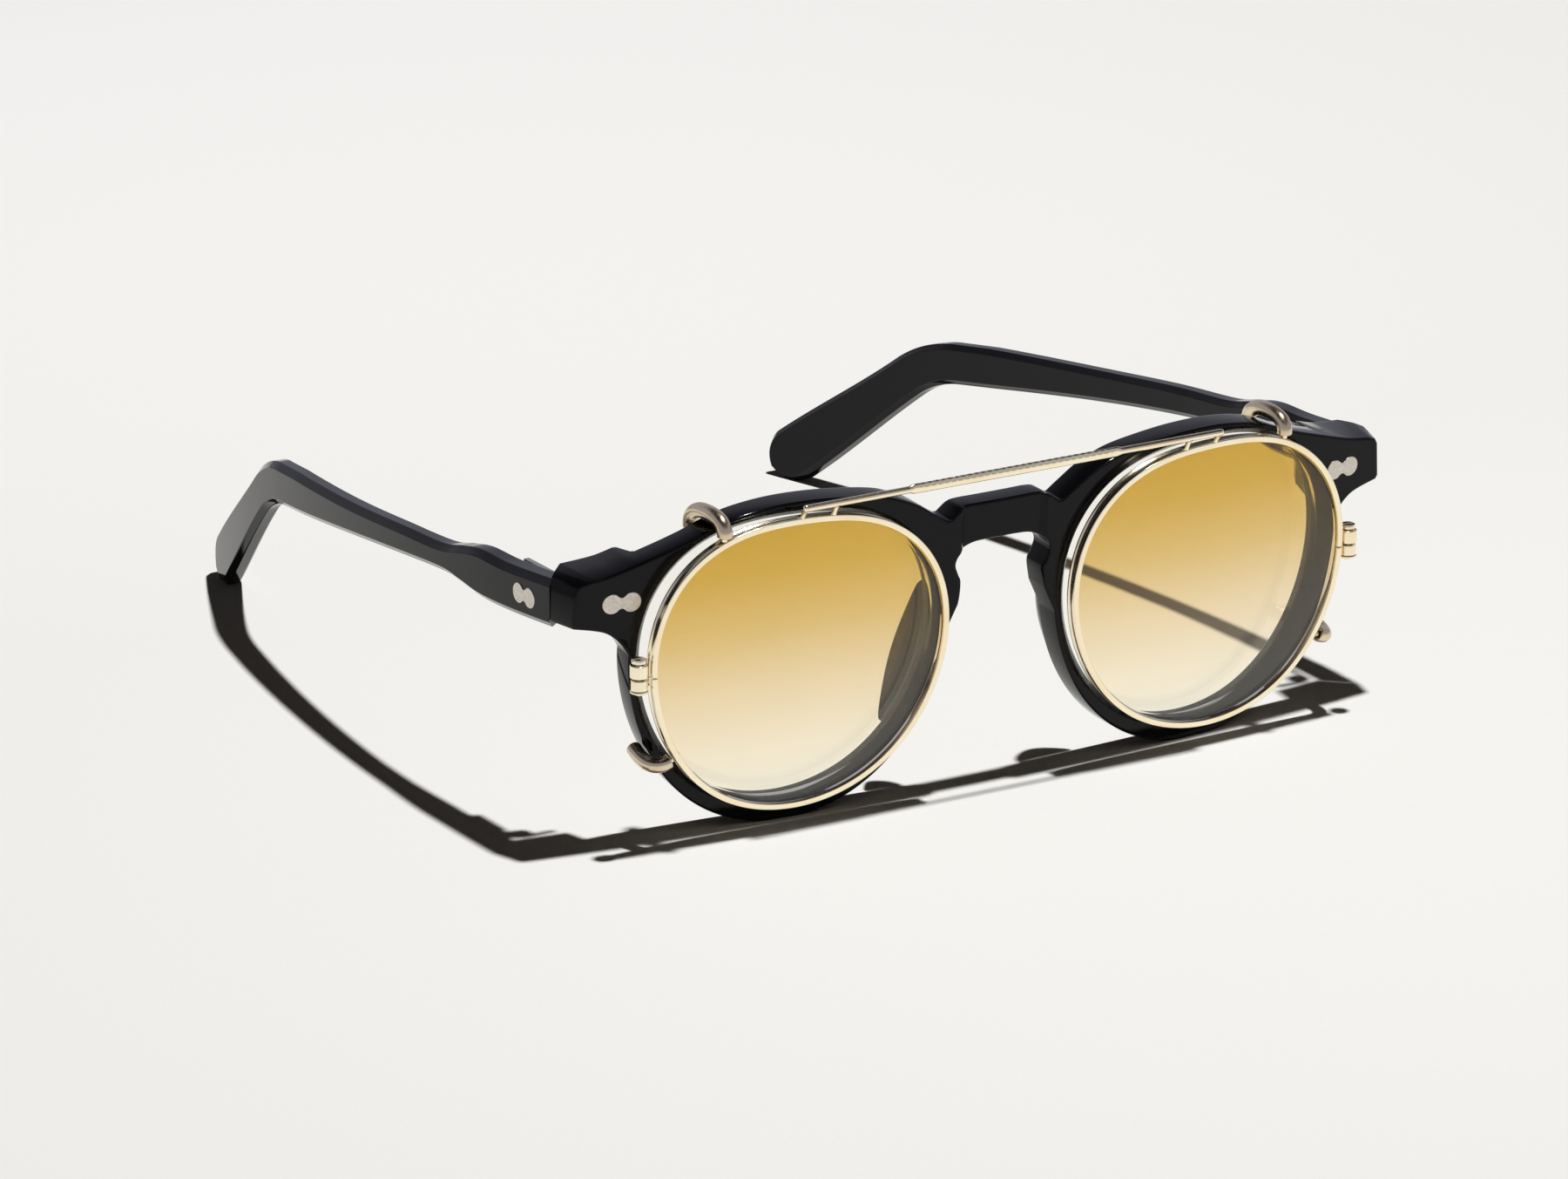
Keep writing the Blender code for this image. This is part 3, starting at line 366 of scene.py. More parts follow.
def unit(v):
    """A vector, or each row of an array of them, over its length."""
    v = np.asarray(v, float)
    return v / np.linalg.norm(v, axis=-1, keepdims=True)


def frames_along(path):
    """Two normals at each point of a path that bends in one plane: that plane's own normal,
    and its cross product with the tangent."""
    tangent = unit(np.gradient(path, axis=0))
    side = unit(np.sum(np.cross(tangent[:-1], tangent[1:]), axis=0) + 1e-9)
    side = unit(side - tangent * np.sum(side * tangent, axis=1, keepdims=True))
    return side, np.cross(tangent, side)


def tube_rings(path, radius, sides):
    """A circle carried along the path: path + radius (cos a * one normal + sin a * other)."""
    u, v = frames_along(path)
    a = (np.arange(sides) * 2 * np.pi / sides)[None, :, None]
    radius = np.broadcast_to(radius, len(path))[:, None, None]
    return path[:, None] + radius * (np.cos(a) * u[:, None] + np.sin(a) * v[:, None])


def turned(profile, base, sides=64):
    """A profile of (radius, height) turned round the upright line through base."""
    a = np.arange(sides) * 2 * np.pi / sides
    r, z = np.asarray(profile, float).T
    return np.asarray(base) + np.stack([r[:, None] * np.cos(a), r[:, None] * np.sin(a),
                                        np.broadcast_to(z[:, None], (len(r), sides))], -1)


def rounded(corners, radius, steps=4):
    """A closed outline with each corner replaced by a quadratic blend that starts and ends
    radius away from it, or halfway to its neighbour where that is nearer."""
    p = np.asarray(corners, float)
    before, after = np.roll(p, 1, 0) - p, np.roll(p, -1, 0) - p
    reach = [np.minimum(radius, 0.48 * np.linalg.norm(d, axis=1))[:, None] for d in (before, after)]
    start, end = p + unit(before) * reach[0], p + unit(after) * reach[1]
    t = np.linspace(0, 1, steps + 1)[None, :, None]
    blend = (1 - t) ** 2 * start[:, None] + 2 * t * (1 - t) * p[:, None] + t ** 2 * end[:, None]
    return blend.reshape(-1, 2)


# ---------------------------------------------------------------- acetate front

def lens_radius(t):
    """Radius of the lens outline at angle t: a circle with a second harmonic that widens it, a
    third that flattens its top and a fourth that squares it."""
    return (LENS_RADIUS + 0.99 * np.cos(2 * t) + 0.66 * np.sin(3 * t) - 0.12 * np.cos(3 * t)
            - 0.28 * np.cos(4 * t))


def lens_point(t, out, side=1.0):
    """Flat (s, h) of the lens outline at angle t, moved out along the radius."""
    r = lens_radius(t) + out
    return side * (LENS_SPACING_HALF + r * np.cos(t)), LENS_HEIGHT + r * np.sin(t)


def face_to_world(s, h, w):
    """Bend the flat sheet to the base curve, then lean it forward at the top."""
    s, h, w = np.broadcast_arrays(np.asarray(s, float), h, w)
    s = s + np.sign(s) * END_FLARE * np.maximum(w, 0.0) * ramp(np.abs(s), 61.0, 66.0)
    turn = s / BASE_CURVE
    x = (BASE_CURVE - w) * np.sin(turn)
    back = BASE_CURVE - (BASE_CURVE - w) * np.cos(turn)
    y = FRONT_FACE_Y + back * np.cos(LEAN) - h * np.sin(LEAN)
    z = h * np.cos(LEAN) + back * np.sin(LEAN)
    return np.stack([x, y, z], -1)


def front_outline():
    """The whole outline of the front as (s, h), anticlockwise: its right half, from the middle
    of the bridge's underside round the rim and back along the top, and that half mirrored."""
    keyhole = smooth_through([(0.0, 36.3), (2.6, 36.3), (4.9, 36.1), (6.9, 35.2), (7.8, 33.7),
                              (7.3, 32.0), (6.7, 30.6), (7.2, 27.6)], 8)
    angles = np.radians(np.linspace(182, 367, 180))
    below = RIM_OUT + RIM_OUT_BELOW * np.maximum(0, -np.sin(angles)) ** 2
    rim = np.stack(lens_point(angles, below), -1)
    under = smooth_through([(59.7, 29.0), (60.8, 30.2), (62.2, 31.2), (64.0, 31.8),
                            (66.9, 32.4)], 6)
    corner = [(67.3, 33.0), (66.9, 37.9), (66.4, 38.7)]
    top = smooth_through([(65.3, 39.1), (61.6, 39.8), (56.5, 41.3), (50.3, 43.3), (44.3, 45.6),
                          (38.0, 46.7), (31.8, 46.9), (25.7, 46.5), (19.5, 45.6), (14.9, 43.9),
                          (11.8, 42.0), (9.6, 40.5)], 12)
    bridge = smooth_through([(8.9, 40.5), (7.3, 41.7), (5.7, 42.0), (2.8, 42.0), (0.0, 42.0)], 6)
    half = np.vstack([keyhole, rim, under, corner, top, bridge])
    mirror = (half * (-1, 1))[::-1]
    whole = np.vstack([mirror[:-1], half[:-1]])
    turn = np.sum(whole[:, 0] * np.roll(whole[:, 1], -1) - np.roll(whole[:, 0], -1) * whole[:, 1])
    return whole if turn > 0 else whole[::-1]


def inset(loop, amount):
    """Move a closed anticlockwise loop inwards along its own normals."""
    step = np.roll(loop, -1, 0) - np.roll(loop, 1, 0)
    return loop + amount * unit(np.stack([-step[:, 1], step[:, 0]], -1))


def back_depth(s, h):
    """Depth of the front at (s, h): deeper in the end pieces, which carry the hinges."""
    block = ramp(np.abs(s), *BLOCK_STEP) * ramp(h, *BLOCK_RISE)
    return FRONT_DEPTH + (END_BLOCK_DEPTH - FRONT_DEPTH) * block


def face_depth(s):
    """Depth of the front face: the bridge between its two slanted steps is set back."""
    return BRIDGE_RECESS * (1 - ramp(np.abs(s), *RECESS_STEP))


def inside(points, loop):
    """Which points lie inside a closed loop: those that a level ray leaves an odd number of
    times."""
    (ax, ay), (bx, by) = loop.T, np.roll(loop, -1, 0).T
    rise = np.where(by == ay, 1.0, by - ay)
    odd = np.zeros(len(points), bool)
    for part in np.array_split(np.arange(len(points)), 20):
        x, y = points[part, 0][:, None], points[part, 1][:, None]
        crossing = ((ay > y) != (by > y)) & (x < ax + (y - ay) * (bx - ax) / rise)
        odd[part] = crossing.sum(1) % 2 == 1
    return odd


LATTICE = 1.3                   # spacing of the points inside a face of the front


def fill_between(outer, holes, extra):
    """Triangles of the sheet inside outer and outside the holes, with a lattice and the extra
    points inside it: the points, the triangles, and where each loop point went."""
    loops = [outer] + holes
    given = np.vstack(loops)
    starts = np.cumsum([0] + [len(loop) for loop in loops])
    edges = [(a + i, a + (i + 1) % len(loop)) for a, loop in zip(starts, loops)
             for i in range(len(loop))]
    reach = np.abs(given).max(0) // LATTICE * LATTICE
    grid = np.stack(np.meshgrid(np.arange(-reach[0], reach[0] + 1, LATTICE),
                                np.arange(0.0, reach[1] + 1, LATTICE)), -1).reshape(-1, 2)

    def clear_of(points, others, distance):
        nearest = [np.min(np.linalg.norm(part[:, None] - others[None], axis=2), axis=1)
                   for part in np.array_split(points, 12)]
        return points[np.concatenate(nearest) > distance]

    grid = np.vstack([extra, clear_of(grid, extra, 0.5 * LATTICE)])
    grid = clear_of(grid, given, 0.25)
    points = np.vstack([given, grid])
    verts, _, tris, origin, _, _ = delaunay_2d_cdt([Vector(p) for p in points], edges, [], 1, 1e-6)
    verts = np.array([tuple(v) for v in verts])
    tris = np.array([tuple(t) for t in tris])
    middle = verts[tris].mean(1)
    keep = inside(middle, outer)
    for hole in holes:
        keep &= ~inside(middle, hole)
    tris = tris[keep]
    place = np.full(len(given), -1)
    for new, old in enumerate(origin):
        for o in old:
            if o < len(given):
                place[o] = new
    used = np.unique(tris)
    renumber = np.full(len(verts), -1)
    renumber[used] = np.arange(len(used))
    return verts[used], renumber[tris], renumber[place]


FACE_EDGE, BACK_EDGE = 0.4, 0.5     # radii of the polished edges
SUPPORT = 0.12                      # a loop this far beyond a radius keeps the face flat


def edge_rows(radius, steps=6):
    """(inset, depth) down a rounded edge: r(1 - sin q), r(1 - cos q), after a support loop."""
    q = np.linspace(0, np.pi / 2, steps)
    rows = np.stack([radius * (1 - np.sin(q)), radius * (1 - np.cos(q))], -1)
    return np.vstack([[(radius + SUPPORT, 0.0)], rows])


def build_front():
    """The front: both faces triangulated flat, joined by loops round the outside and through
    the two openings, with the lens groove, then bent, leant and cut at its mitres and feet."""
    outer = front_outline()
    angles = np.arange(ROUND) * 2 * np.pi / ROUND
    groove = [(-OPENING_IN, GROOVE_DEPTH - 0.75), (-OPENING_IN + 0.03, GROOVE_DEPTH - 0.65),
              (GROOVE_OUT, GROOVE_DEPTH), (-OPENING_IN + 0.03, GROOVE_DEPTH + 0.65),
              (-OPENING_IN, GROOVE_DEPTH + 0.75)]
    bezel = [(1.0, 0.0), (0.86, 0.01), (0.76, 0.06), (0.66, 0.17), (0.3, 0.58), (-0.06, 1.0),
             (-0.15, 1.12), (-OPENING_IN, 1.27)]
    wall = [(out, 0.0, deep) for out, deep in bezel + groove]
    wall += [(-OPENING_IN, 1.0, -0.5), (-OPENING_IN + 0.04, 1.0, -0.3),
             (-OPENING_IN + 0.13, 1.0, -0.12), (-OPENING_IN + 0.3, 1.0, -0.02),
             (-OPENING_IN + 0.45, 1.0, 0.0)]
    rows = np.arange(BLOCK_RISE[0], 41.5, 0.6)
    step = [(side * s, h) for side in (-1, 1) for s in BLOCK_STEP for h in rows]
    step += [(side * s, h) for side in (-1, 1) for s in np.arange(58.6, 66.0, 0.6)
             for h in BLOCK_RISE]
    ledge = [(side * s, h) for side in (-1, 1) for s in (*RECESS_STEP, 6.2, 7.2)
             for h in np.arange(35.0, 41.6, 0.3)]

    def hole(out, side):
        return np.stack(lens_point(angles, out, side), -1)

    front_rows, back_rows = edge_rows(FACE_EDGE), edge_rows(BACK_EDGE)[::-1]
    loops = {"front": [inset(outer, front_rows[0][0]), hole(wall[0][0], -1), hole(wall[0][0], 1)],
             "back": [inset(outer, back_rows[-1][0]), hole(wall[-1][0], -1), hole(wall[-1][0], 1)]}
    extra = {"front": ledge, "back": step}
    points, faces, places = [], [], {}
    total = 0
    for name, (edge, *holes) in loops.items():
        flat, tris, place = fill_between(edge, holes, np.array(extra[name]))
        s, h = flat.T
        w = face_depth(s) if name == "front" else back_depth(s, h)
        points.append(face_to_world(s, h, w))
        faces += (tris + total).tolist()
        places[name] = place + total
        total += len(flat)

    def strip(numbers):
        for a, b in zip(numbers[:-1], numbers[1:]):
            quads = np.stack([a, np.roll(a, -1), np.roll(b, -1), b], -1)
            faces.extend(quads.tolist())

    n, m = len(outer), ROUND
    numbers = [places["front"][:n]]
    middle = [(amount, "front", deep) for amount, deep in front_rows[1:]]
    middle += [(amount, "back", -deep) for amount, deep in back_rows[:-1]]
    for amount, face, deep in middle:
        s, h = inset(outer, amount).T
        w = deep + (face_depth(s) if face == "front" else back_depth(s, h))
        points.append(face_to_world(s, h, w))
        numbers.append(np.arange(total, total + n))
        total += n
    strip(numbers + [places["back"][:n]])
    for i, side in enumerate((-1, 1)):
        numbers = [places["front"][n + i * m:n + (i + 1) * m]]
        for out, share, deep in wall[1:-1]:
            s, h = hole(out, side).T
            points.append(face_to_world(s, h, share * back_depth(s, h) + deep))
            numbers.append(np.arange(total, total + m))
            total += m
        strip(numbers + [places["back"][n + i * m:n + (i + 1) * m]])
    trims = [((side * SEAM_X, SEAM_Y, 0), (side * np.sin(SEAM_ANGLE), np.cos(SEAM_ANGLE), 0))
             for _, side in SIDES]
    trims.append(((0, 0, 0), (0, 0, -1)))
    add_piece("acetate_front", np.vstack(points), faces, ACETATE, "front_frame", "black_acetate",
              ["front"], trims=trims)


def lens_rings(edge, shoulder, thickness, bulge, mid, to_world):
    """Rings of a lens, from the middle of its face round its bevelled edge to the middle of
    its back; both faces bulge forward by bulge * (1 - share^2) of the radius."""
    t = np.arange(ROUND) * 2 * np.pi / ROUND
    shares = np.append(np.linspace(0.0, 0.97, 24), [0.99, 1.0])
    rim = lens_radius(t) + shoulder
    rows = [(share * rim, -thickness / 2, share) for share in shares]
    rows.append((lens_radius(t) + edge, 0.0, 1.0))
    rows += [(share * rim, thickness / 2, share) for share in shares[::-1]]
    return [to_world(r * np.cos(t), r * np.sin(t), mid + w - bulge * (1 - share ** 2))
            for r, w, share in rows]


def build_lenses(tag, side):
    """The clear lens in the front's groove and the dyed lens in the clip's eyewire."""
    def to_world(a, b, w):
        return face_to_world(side * (LENS_SPACING_HALF + a), LENS_HEIGHT + b, w)
    add_grid("clear_lens_" + tag, lens_rings(GROOVE_OUT - GAP, -0.35, 1.0, 0.8, GROOVE_DEPTH,
                                             to_world),
             CLEAR, "front_frame", "clear_lens", ["frame_lens_" + tag])
    add_grid("amber_lens_" + tag, lens_rings(0.05 - GAP, -0.6, 1.0, 1.3, 0.0,
                                             clip_to_world(side)),
             AMBER, "clip_on", "amber_gradient_lens", ["clip_lens_" + tag])


def build_nose_pad(tag, side):
    """A pad behind the nose side of a rim: a closed section that grows and flares with its
    reach, carried along an arc of the lens outline."""
    share = np.linspace(0.0, 1.0, 61)[:, None]
    angle = np.radians(166 + 54 * share)
    d = 0.5 + 3.3 * np.sin(np.pi * share) ** 0.7
    out = np.hstack([1.5 + 0 * d, 1.5 - 0.25 * d, 1.1 - 0.55 * d, 0.5 - 0.6 * d, -0.1 - 0.45 * d,
                     0.1 + 0 * d])
    deep = np.hstack([0 * d, 0.7 * d, d, d, 0.7 * d, 0 * d])
    section = np.stack([rounded(np.stack([o, w], -1), 0.9) for o, w in zip(out, deep)])
    s, h = lens_point(angle, section[..., 0], side)
    rings = face_to_world(s, h, FRONT_DEPTH + GAP / 3 + section[..., 1])
    add_grid("acetate_nose_pad_" + tag, rings, ACETATE, "front_frame", "black_acetate",
             ["nose_pad_" + tag])


# ---------------------------------------------------------------- rivets and temples

def dumbbell():
    """Outline of a rivet plaque: two round lobes that blend into a narrow waist."""
    a = np.radians(np.linspace(-118, 118, 40))
    lobe_line = np.stack([LOBE_SPACING / 2 + LOBE_RADIUS * np.cos(a), LOBE_RADIUS * np.sin(a)], -1)
    neck = smooth_through([lobe_line[-1], (0.35, WAIST + 0.12), (0.0, WAIST)], 5)[1:]
    low_neck = (neck * (1, -1))[::-1]
    right = np.vstack([low_neck, lobe_line, neck[:-1]])
    return np.vstack([right, -right])


def build_rivet(name, body, place, across, up, inwards, replaced):
    """A plaque that stands a little proud, with rounded edges: rings that shrink onto the line
    between the middles of its lobes, and a skirt that sinks into the acetate."""
    across, up, inwards = unit(across), unit(up), unit(inwards)
    outline = dumbbell()
    reach = LOBE_SPACING / 2
    spine = np.stack([np.clip(outline[:, 0], -reach, reach), 0 * outline[:, 0]], -1)
    q = np.radians((0, 30, 60, 90))
    rows = [(0.0, 0.005), (0.5, 0.0), (0.86, 0.0)]
    rows += [(0.93 + 0.07 * np.sin(a), 0.07 * (1 - np.cos(a))) for a in q]
    rows += [(1.0, PLAQUE_SKIRT), (0.0, PLAQUE_SKIRT)]
    rings = []
    for share, deep in rows:
        flat = spine + share * (outline - spine)
        rings.append(np.asarray(place) + flat[:, :1] * across + flat[:, 1:] * up
                     + (deep - PLAQUE_PROUD) * inwards)
    add_grid(name, rings, NICKEL, body, "satin_nickel", [replaced])


def temple_outside_x(y):
    """Plan curve of the temple's outer face: a chord with an outward bow."""
    t = (np.asarray(y, float) - SEAM_Y) / TEMPLE_RUN
    return SEAM_X - TEMPLE_INWARD * t + 4 * TEMPLE_BOW * t * (1 - t)


def temple_path():
    """Stations of the temple in side view as (y, z, angle, height): the shaft between its top
    and bottom lines, the bend as an arc, the tip, and its round end."""
    edges = smooth_through([(-15.0, 39.1, 32.1), (-10.5, 38.8, 31.8), (2.0, 37.8, 30.9),
                            (10.0, 37.6, 30.6), (15.5, 36.6, 31.0), (21.6, 35.3, 31.2),
                            (35.0, 34.1, 29.8), (53.0, 32.2, 27.4), (76.0, 30.0, 23.9)], 12)
    y, top, low = edges.T
    shaft = np.stack([y, (top + low) / 2, 0 * y + SHAFT_ANGLE, top - low], -1)
    tangent = BEND_RADIUS * np.tan((SHAFT_ANGLE - TIP_ANGLE) / 2)
    centre = np.array([BEND_Y - tangent * np.cos(SHAFT_ANGLE) + BEND_RADIUS * np.sin(SHAFT_ANGLE),
                       BEND_Z - tangent * np.sin(SHAFT_ANGLE) - BEND_RADIUS * np.cos(SHAFT_ANGLE)])
    share = np.linspace(0, 1, 32)
    a = SHAFT_ANGLE + (TIP_ANGLE - SHAFT_ANGLE) * share
    bend = np.stack([centre[0] - BEND_RADIUS * np.sin(a), centre[1] + BEND_RADIUS * np.cos(a),
                     a, BEND_HEIGHT[0] + (BEND_HEIGHT[1] - BEND_HEIGHT[0]) * share], -1)
    along = np.array([np.cos(TIP_ANGLE), np.sin(TIP_ANGLE)])
    run = TIP_LENGTH - tangent
    share = np.linspace(0, 1, 25)[1:]
    rise = share ** 2 * (3 - 2 * share)
    straight = bend[-1, :2] + run * share[:, None] * along
    tip = np.column_stack([straight, 0 * share + TIP_ANGLE,
                           BEND_HEIGHT[1] + (2 * TIP_ROUND - BEND_HEIGHT[1]) * rise])
    q = np.radians(np.append(np.linspace(4, 80, 20), [83, 85.5, 87.5, 89]))
    end = tip[-1, :2] + (TIP_ROUND - TIP_SHORT) * np.sin(q)[:, None] * along
    tail = np.column_stack([end, 0 * q + TIP_ANGLE, 2 * TIP_ROUND * np.cos(q)])
    return np.vstack([shaft, bend, tip, tail])


def temple_sections(path, outer_edge=0.95, inner_edge=0.8):
    """Sections of the temple as (in from the outer face, up): a rectangle with chamfered
    corners, each chamfer softened at both its edges, narrowed where the section is low."""
    thick = TEMPLE_THICK - TEMPLE_THINS * ramp(path[:, 0], 0.0, 30.0)
    half = path[:, 3] / 2
    chamfer = np.array([1.0, 0.92, 0.83, 0.74, 0.5, 0.26, 0.15, 0.06, 0.0])
    sections = []
    for inward, upward, edge in ((0, 1, outer_edge), (0, -1, outer_edge), (1, -1, inner_edge),
                                 (1, 1, inner_edge)):
        r = np.minimum(edge, 0.9 * half)[:, None]
        first, second = chamfer, chamfer[::-1]
        if (inward == 0) == (upward == -1):
            first, second = first[::-1], second[::-1]
        x = np.hstack([r * first])
        z = np.hstack([r * second])
        if (inward == 0) == (upward == 1):
            x = np.hstack([r + 0.1, x, 0 * r])
            z = np.hstack([0 * r, z, np.minimum(r + 0.1, half[:, None])])
        else:
            x = np.hstack([0 * r, x, r + 0.1])
            z = np.hstack([np.minimum(r + 0.1, half[:, None]), z, 0 * r])
        x = thick[:, None] - x if inward else x
        z = half[:, None] - z
        sections.append(np.stack([x, upward * z], -1))
    return np.concatenate(sections, axis=1)


def build_temple(tag, side):
    """A temple: its section carried along its side view, with x from its plan curve."""
    path = temple_path()
    section = temple_sections(path)
    y, z, angle = (path[:, i, None] for i in range(3))
    inward, up = section[..., 0], section[..., 1]
    along = y - up * np.sin(angle)
    rings = np.stack([side * (temple_outside_x(along) - inward), along,
                      z + up * np.cos(angle)], -1)
    shift = GAP / 2 / np.sqrt(0.5)
    seam = (side * (SEAM_X + shift * np.sin(SEAM_ANGLE)), SEAM_Y + shift * np.cos(SEAM_ANGLE), 0)
    trims = [(seam, (-side * np.sin(SEAM_ANGLE), -np.cos(SEAM_ANGLE), 0)),
             ((0, 0, 0), (0, 0, -1))]
    body = "temple_" + tag
    add_grid("acetate_temple_" + tag, rings, ACETATE, body, "black_acetate", [body], trims=trims)
    y = TEMPLE_RIVET_Y
    run = np.array([side * (temple_outside_x(y + 1) - temple_outside_x(y - 1)), 2.0, 0.0])
    build_rivet("nickel_temple_rivet_" + tag, body,
                (side * temple_outside_x(y), y, TEMPLE_RIVET_Z), run, (0, 0, 1),
                np.cross(run, (0, 0, 1)) * -side, "temple_rivet_" + tag)


def build_front_rivet(tag, side):
    """The plaque on an end piece, lying in the leant and curved front face."""
    at = face_to_world(side * FRONT_RIVET_S, FRONT_RIVET_H, 0.0)
    across = face_to_world(side * (FRONT_RIVET_S + 1), FRONT_RIVET_H, 0.0) - at
    back = face_to_world(side * FRONT_RIVET_S, FRONT_RIVET_H, 1.0) - at
    build_rivet("nickel_front_rivet_" + tag, "front_frame", at, across,
                (0, -np.sin(LEAN), np.cos(LEAN)), back, "front_rivet_" + tag)


# ---------------------------------------------------------------- clip-on

def clip_to_world(side):
    """Flat (a, b, w) on one clip lens to the datum's axes: a out, b up, w back."""
    def convert(a, b, w):
        a, b, w = np.broadcast_arrays(np.asarray(a, float), b, w)
        x = LENS_SPACING_HALF + a * np.cos(CLIP_WRAP) - w * np.sin(CLIP_WRAP)
        back = a * np.sin(CLIP_WRAP) + w * np.cos(CLIP_WRAP)
        y = CLIP_Y + back * np.cos(CLIP_LEAN) - b * np.sin(CLIP_LEAN)
        z = LENS_HEIGHT + b * np.cos(CLIP_LEAN) + back * np.sin(CLIP_LEAN)
        return np.stack([side * x, y, z], -1)
    return convert


def polar_on_clip(side, angle, radius, depth):
    """A point on a clip lens from its angle, radius and depth."""
    return clip_to_world(side)(radius * np.cos(angle), radius * np.sin(angle), depth)


def build_clip_rim(tag, side):
    """The eyewire: a strip with a channel round its outside and a V groove for the lens on its
    inside, carried round the lens outline and split at its closing block."""
    half_gap = np.arcsin(0.5 * GAP / LENS_RADIUS)
    t = SPLIT_ANGLE + np.linspace(half_gap, 2 * np.pi - half_gap, ROUND + 1)
    width, depth = WIRE_HALF_WIDTH, WIRE_HALF_DEPTH
    corners = [(width, -depth), (width, -0.2), (width - 0.2, -0.05), (width - 0.2, 0.45),
               (width, 0.6), (width, depth), (-width, depth), (-width, 0.45), (0.05, 0.0),
               (-width, -0.45), (-width, -depth)]
    profile = rounded(corners, 0.12, 3)
    out, deep = profile.T
    rings = polar_on_clip(side, t[:, None], lens_radius(t)[:, None] + out[None], deep[None])
    add_grid("gold_eyewire_" + tag, rings, GOLD, "clip_on", "pale_gold", ["clip_rim_" + tag])


def screw_head(place, radius, height, slot_half, slot_deep, stem, sides=96):
    """A slotted screw: a polar grid of its head, sunk by slot_deep where |y| < slot_half, over
    its rounded edge and its stem."""
    x0, y0, z0 = place
    a = np.arange(sides) * 2 * np.pi / sides
    shares = np.linspace(0.0, 1.0, 25)
    r = np.append(radius * shares * 0.93, [0.97 * radius, radius, radius, stem[0], stem[0]])
    z = np.append(height + 0 * shares, [height - 0.02, height - 0.09, 0.0, 0.0, -stem[1]])
    r, z, a = r[:, None], z[:, None] + 0 * a[None], a[None]
    y = r * np.sin(a)
    in_slot = 1 - ramp(np.abs(y), slot_half - 0.02, slot_half + 0.02)
    z = np.where(z > height - slot_deep, z - slot_deep * in_slot * (z > 0.4 * height), z)
    return np.stack([x0 + r * np.cos(a), y0 + y, z0 + z], -1)


def build_lock(tag, side):
    """The closing block: two turned barrels, the lower one flanged, and the slotted screw that
    pulls them together."""
    x, y, z = polar_on_clip(side, SPLIT_ANGLE, lens_radius(SPLIT_ANGLE) + WIRE_HALF_WIDTH + GAP
                            + LOCK_WALL, 0.0)
    barrel = rounded([(LOCK_BORE, LOCK_LOW), (LOCK_WALL, LOCK_LOW), (LOCK_WALL, LOCK_HIGH),
                      (LOCK_BORE, LOCK_HIGH)], 0.14)
    neck = LOCK_WALL - 0.14
    flange = rounded([(LOCK_BORE, -LOCK_HIGH), (LOCK_WALL, -LOCK_HIGH),
                      (LOCK_WALL, -LOCK_HIGH + 0.3), (neck, -LOCK_HIGH + 0.38),
                      (neck, -LOCK_LOW), (LOCK_BORE, -LOCK_LOW)], 0.12)
    place = (x, y, z)
    add_grid("gold_lock_upper_" + tag, turned(barrel, place), GOLD, "clip_on", "pale_gold",
             ["rim_lock_upper_" + tag], closed=True)
    add_grid("gold_lock_lower_" + tag, turned(flange, place), GOLD, "clip_on", "pale_gold",
             ["rim_lock_lower_" + tag], closed=True)
    screw = screw_head((x, y, z + 2.3), 1.05, 0.6, 0.16, 0.3, (0.5, 4.7))
    add_grid("gold_lock_screw_" + tag, screw, GOLD, "clip_on", "pale_gold",
             ["rim_lock_screw_" + tag])


def milled_pattern(x, a):
    """Cut of the ornament on the flat of the bar, as a share of its depth: two crossed sines
    along and across the top, which leave a row of lozenges, faded out at the flat's ends."""
    along, across = 2 * np.pi * x / ORNAMENT_PITCH, 3.0 * np.cos(a)
    wave = np.sin(along + across) * np.sin(along - across)
    return ramp(wave, 0.0, 0.35) * (1 - ramp(np.abs(x), 15.2, 16.2)) * ramp(np.sin(a), 0.15, 0.4)


def build_bar():
    """The brow bar: a round rod with round ends, flattened in the middle where the ornament is
    cut into its top and front."""
    half = np.concatenate([BAR_END - BAR_RADIUS * (1 - np.cos(np.linspace(0, np.pi / 2, 8))),
                           np.linspace(BAR_END - 0.6, 17.9, 50), np.linspace(17.8, 0.02, 220)])
    x = np.concatenate([-half, half[::-1]])[:, None]
    flat = 1 - ramp(np.abs(x), *BAR_FLAT)
    flat = flat ** 2 * (3 - 2 * flat)
    past = ramp(np.abs(x), BAR_END - BAR_RADIUS, BAR_END + 0.01)
    end = np.sqrt(np.clip(1 - past ** 2, 0.0, 1.0))
    a = (np.arange(48) * 2 * np.pi / 48)[None]
    cut = 1 - ORNAMENT_CUT * milled_pattern(x, a)
    y = BAR_Y + (BAR_RADIUS - 0.12 * flat) * end * np.cos(a) * cut
    z = BAR_Z + (BAR_RADIUS + 0.22 * flat) * end * np.sin(a) * cut
    rings = np.stack([np.broadcast_to(x, y.shape), y, z], -1)
    add_grid("gold_brow_bar", rings, GOLD, "clip_on", "pale_gold", ["clip_bar"])
    for i, place in enumerate((-BAR_END + 0.6, -BAR_POST, BAR_POST, BAR_END - 0.6)):
        to_world = clip_to_world(np.sign(place))
        offset = abs(place) - LENS_SPACING_HALF
        t = np.pi / 2 - np.arctan2(offset, LENS_RADIUS)
        foot = to_world(offset, (lens_radius(t) + WIRE_HALF_WIDTH - 0.1) * np.sin(t), -0.35)
        top = np.array([place, BAR_Y, BAR_Z])
        share = np.linspace(0, 1, 14)[:, None]
        path = foot + (top - foot) * share
        radius = 0.36 + 0.22 * (np.abs(2 * share[:, 0] - 1)) ** 4
        add_grid("gold_bar_post_%d" % (i + 1), tube_rings(path, radius, 24), GOLD, "clip_on",
                 "pale_gold")


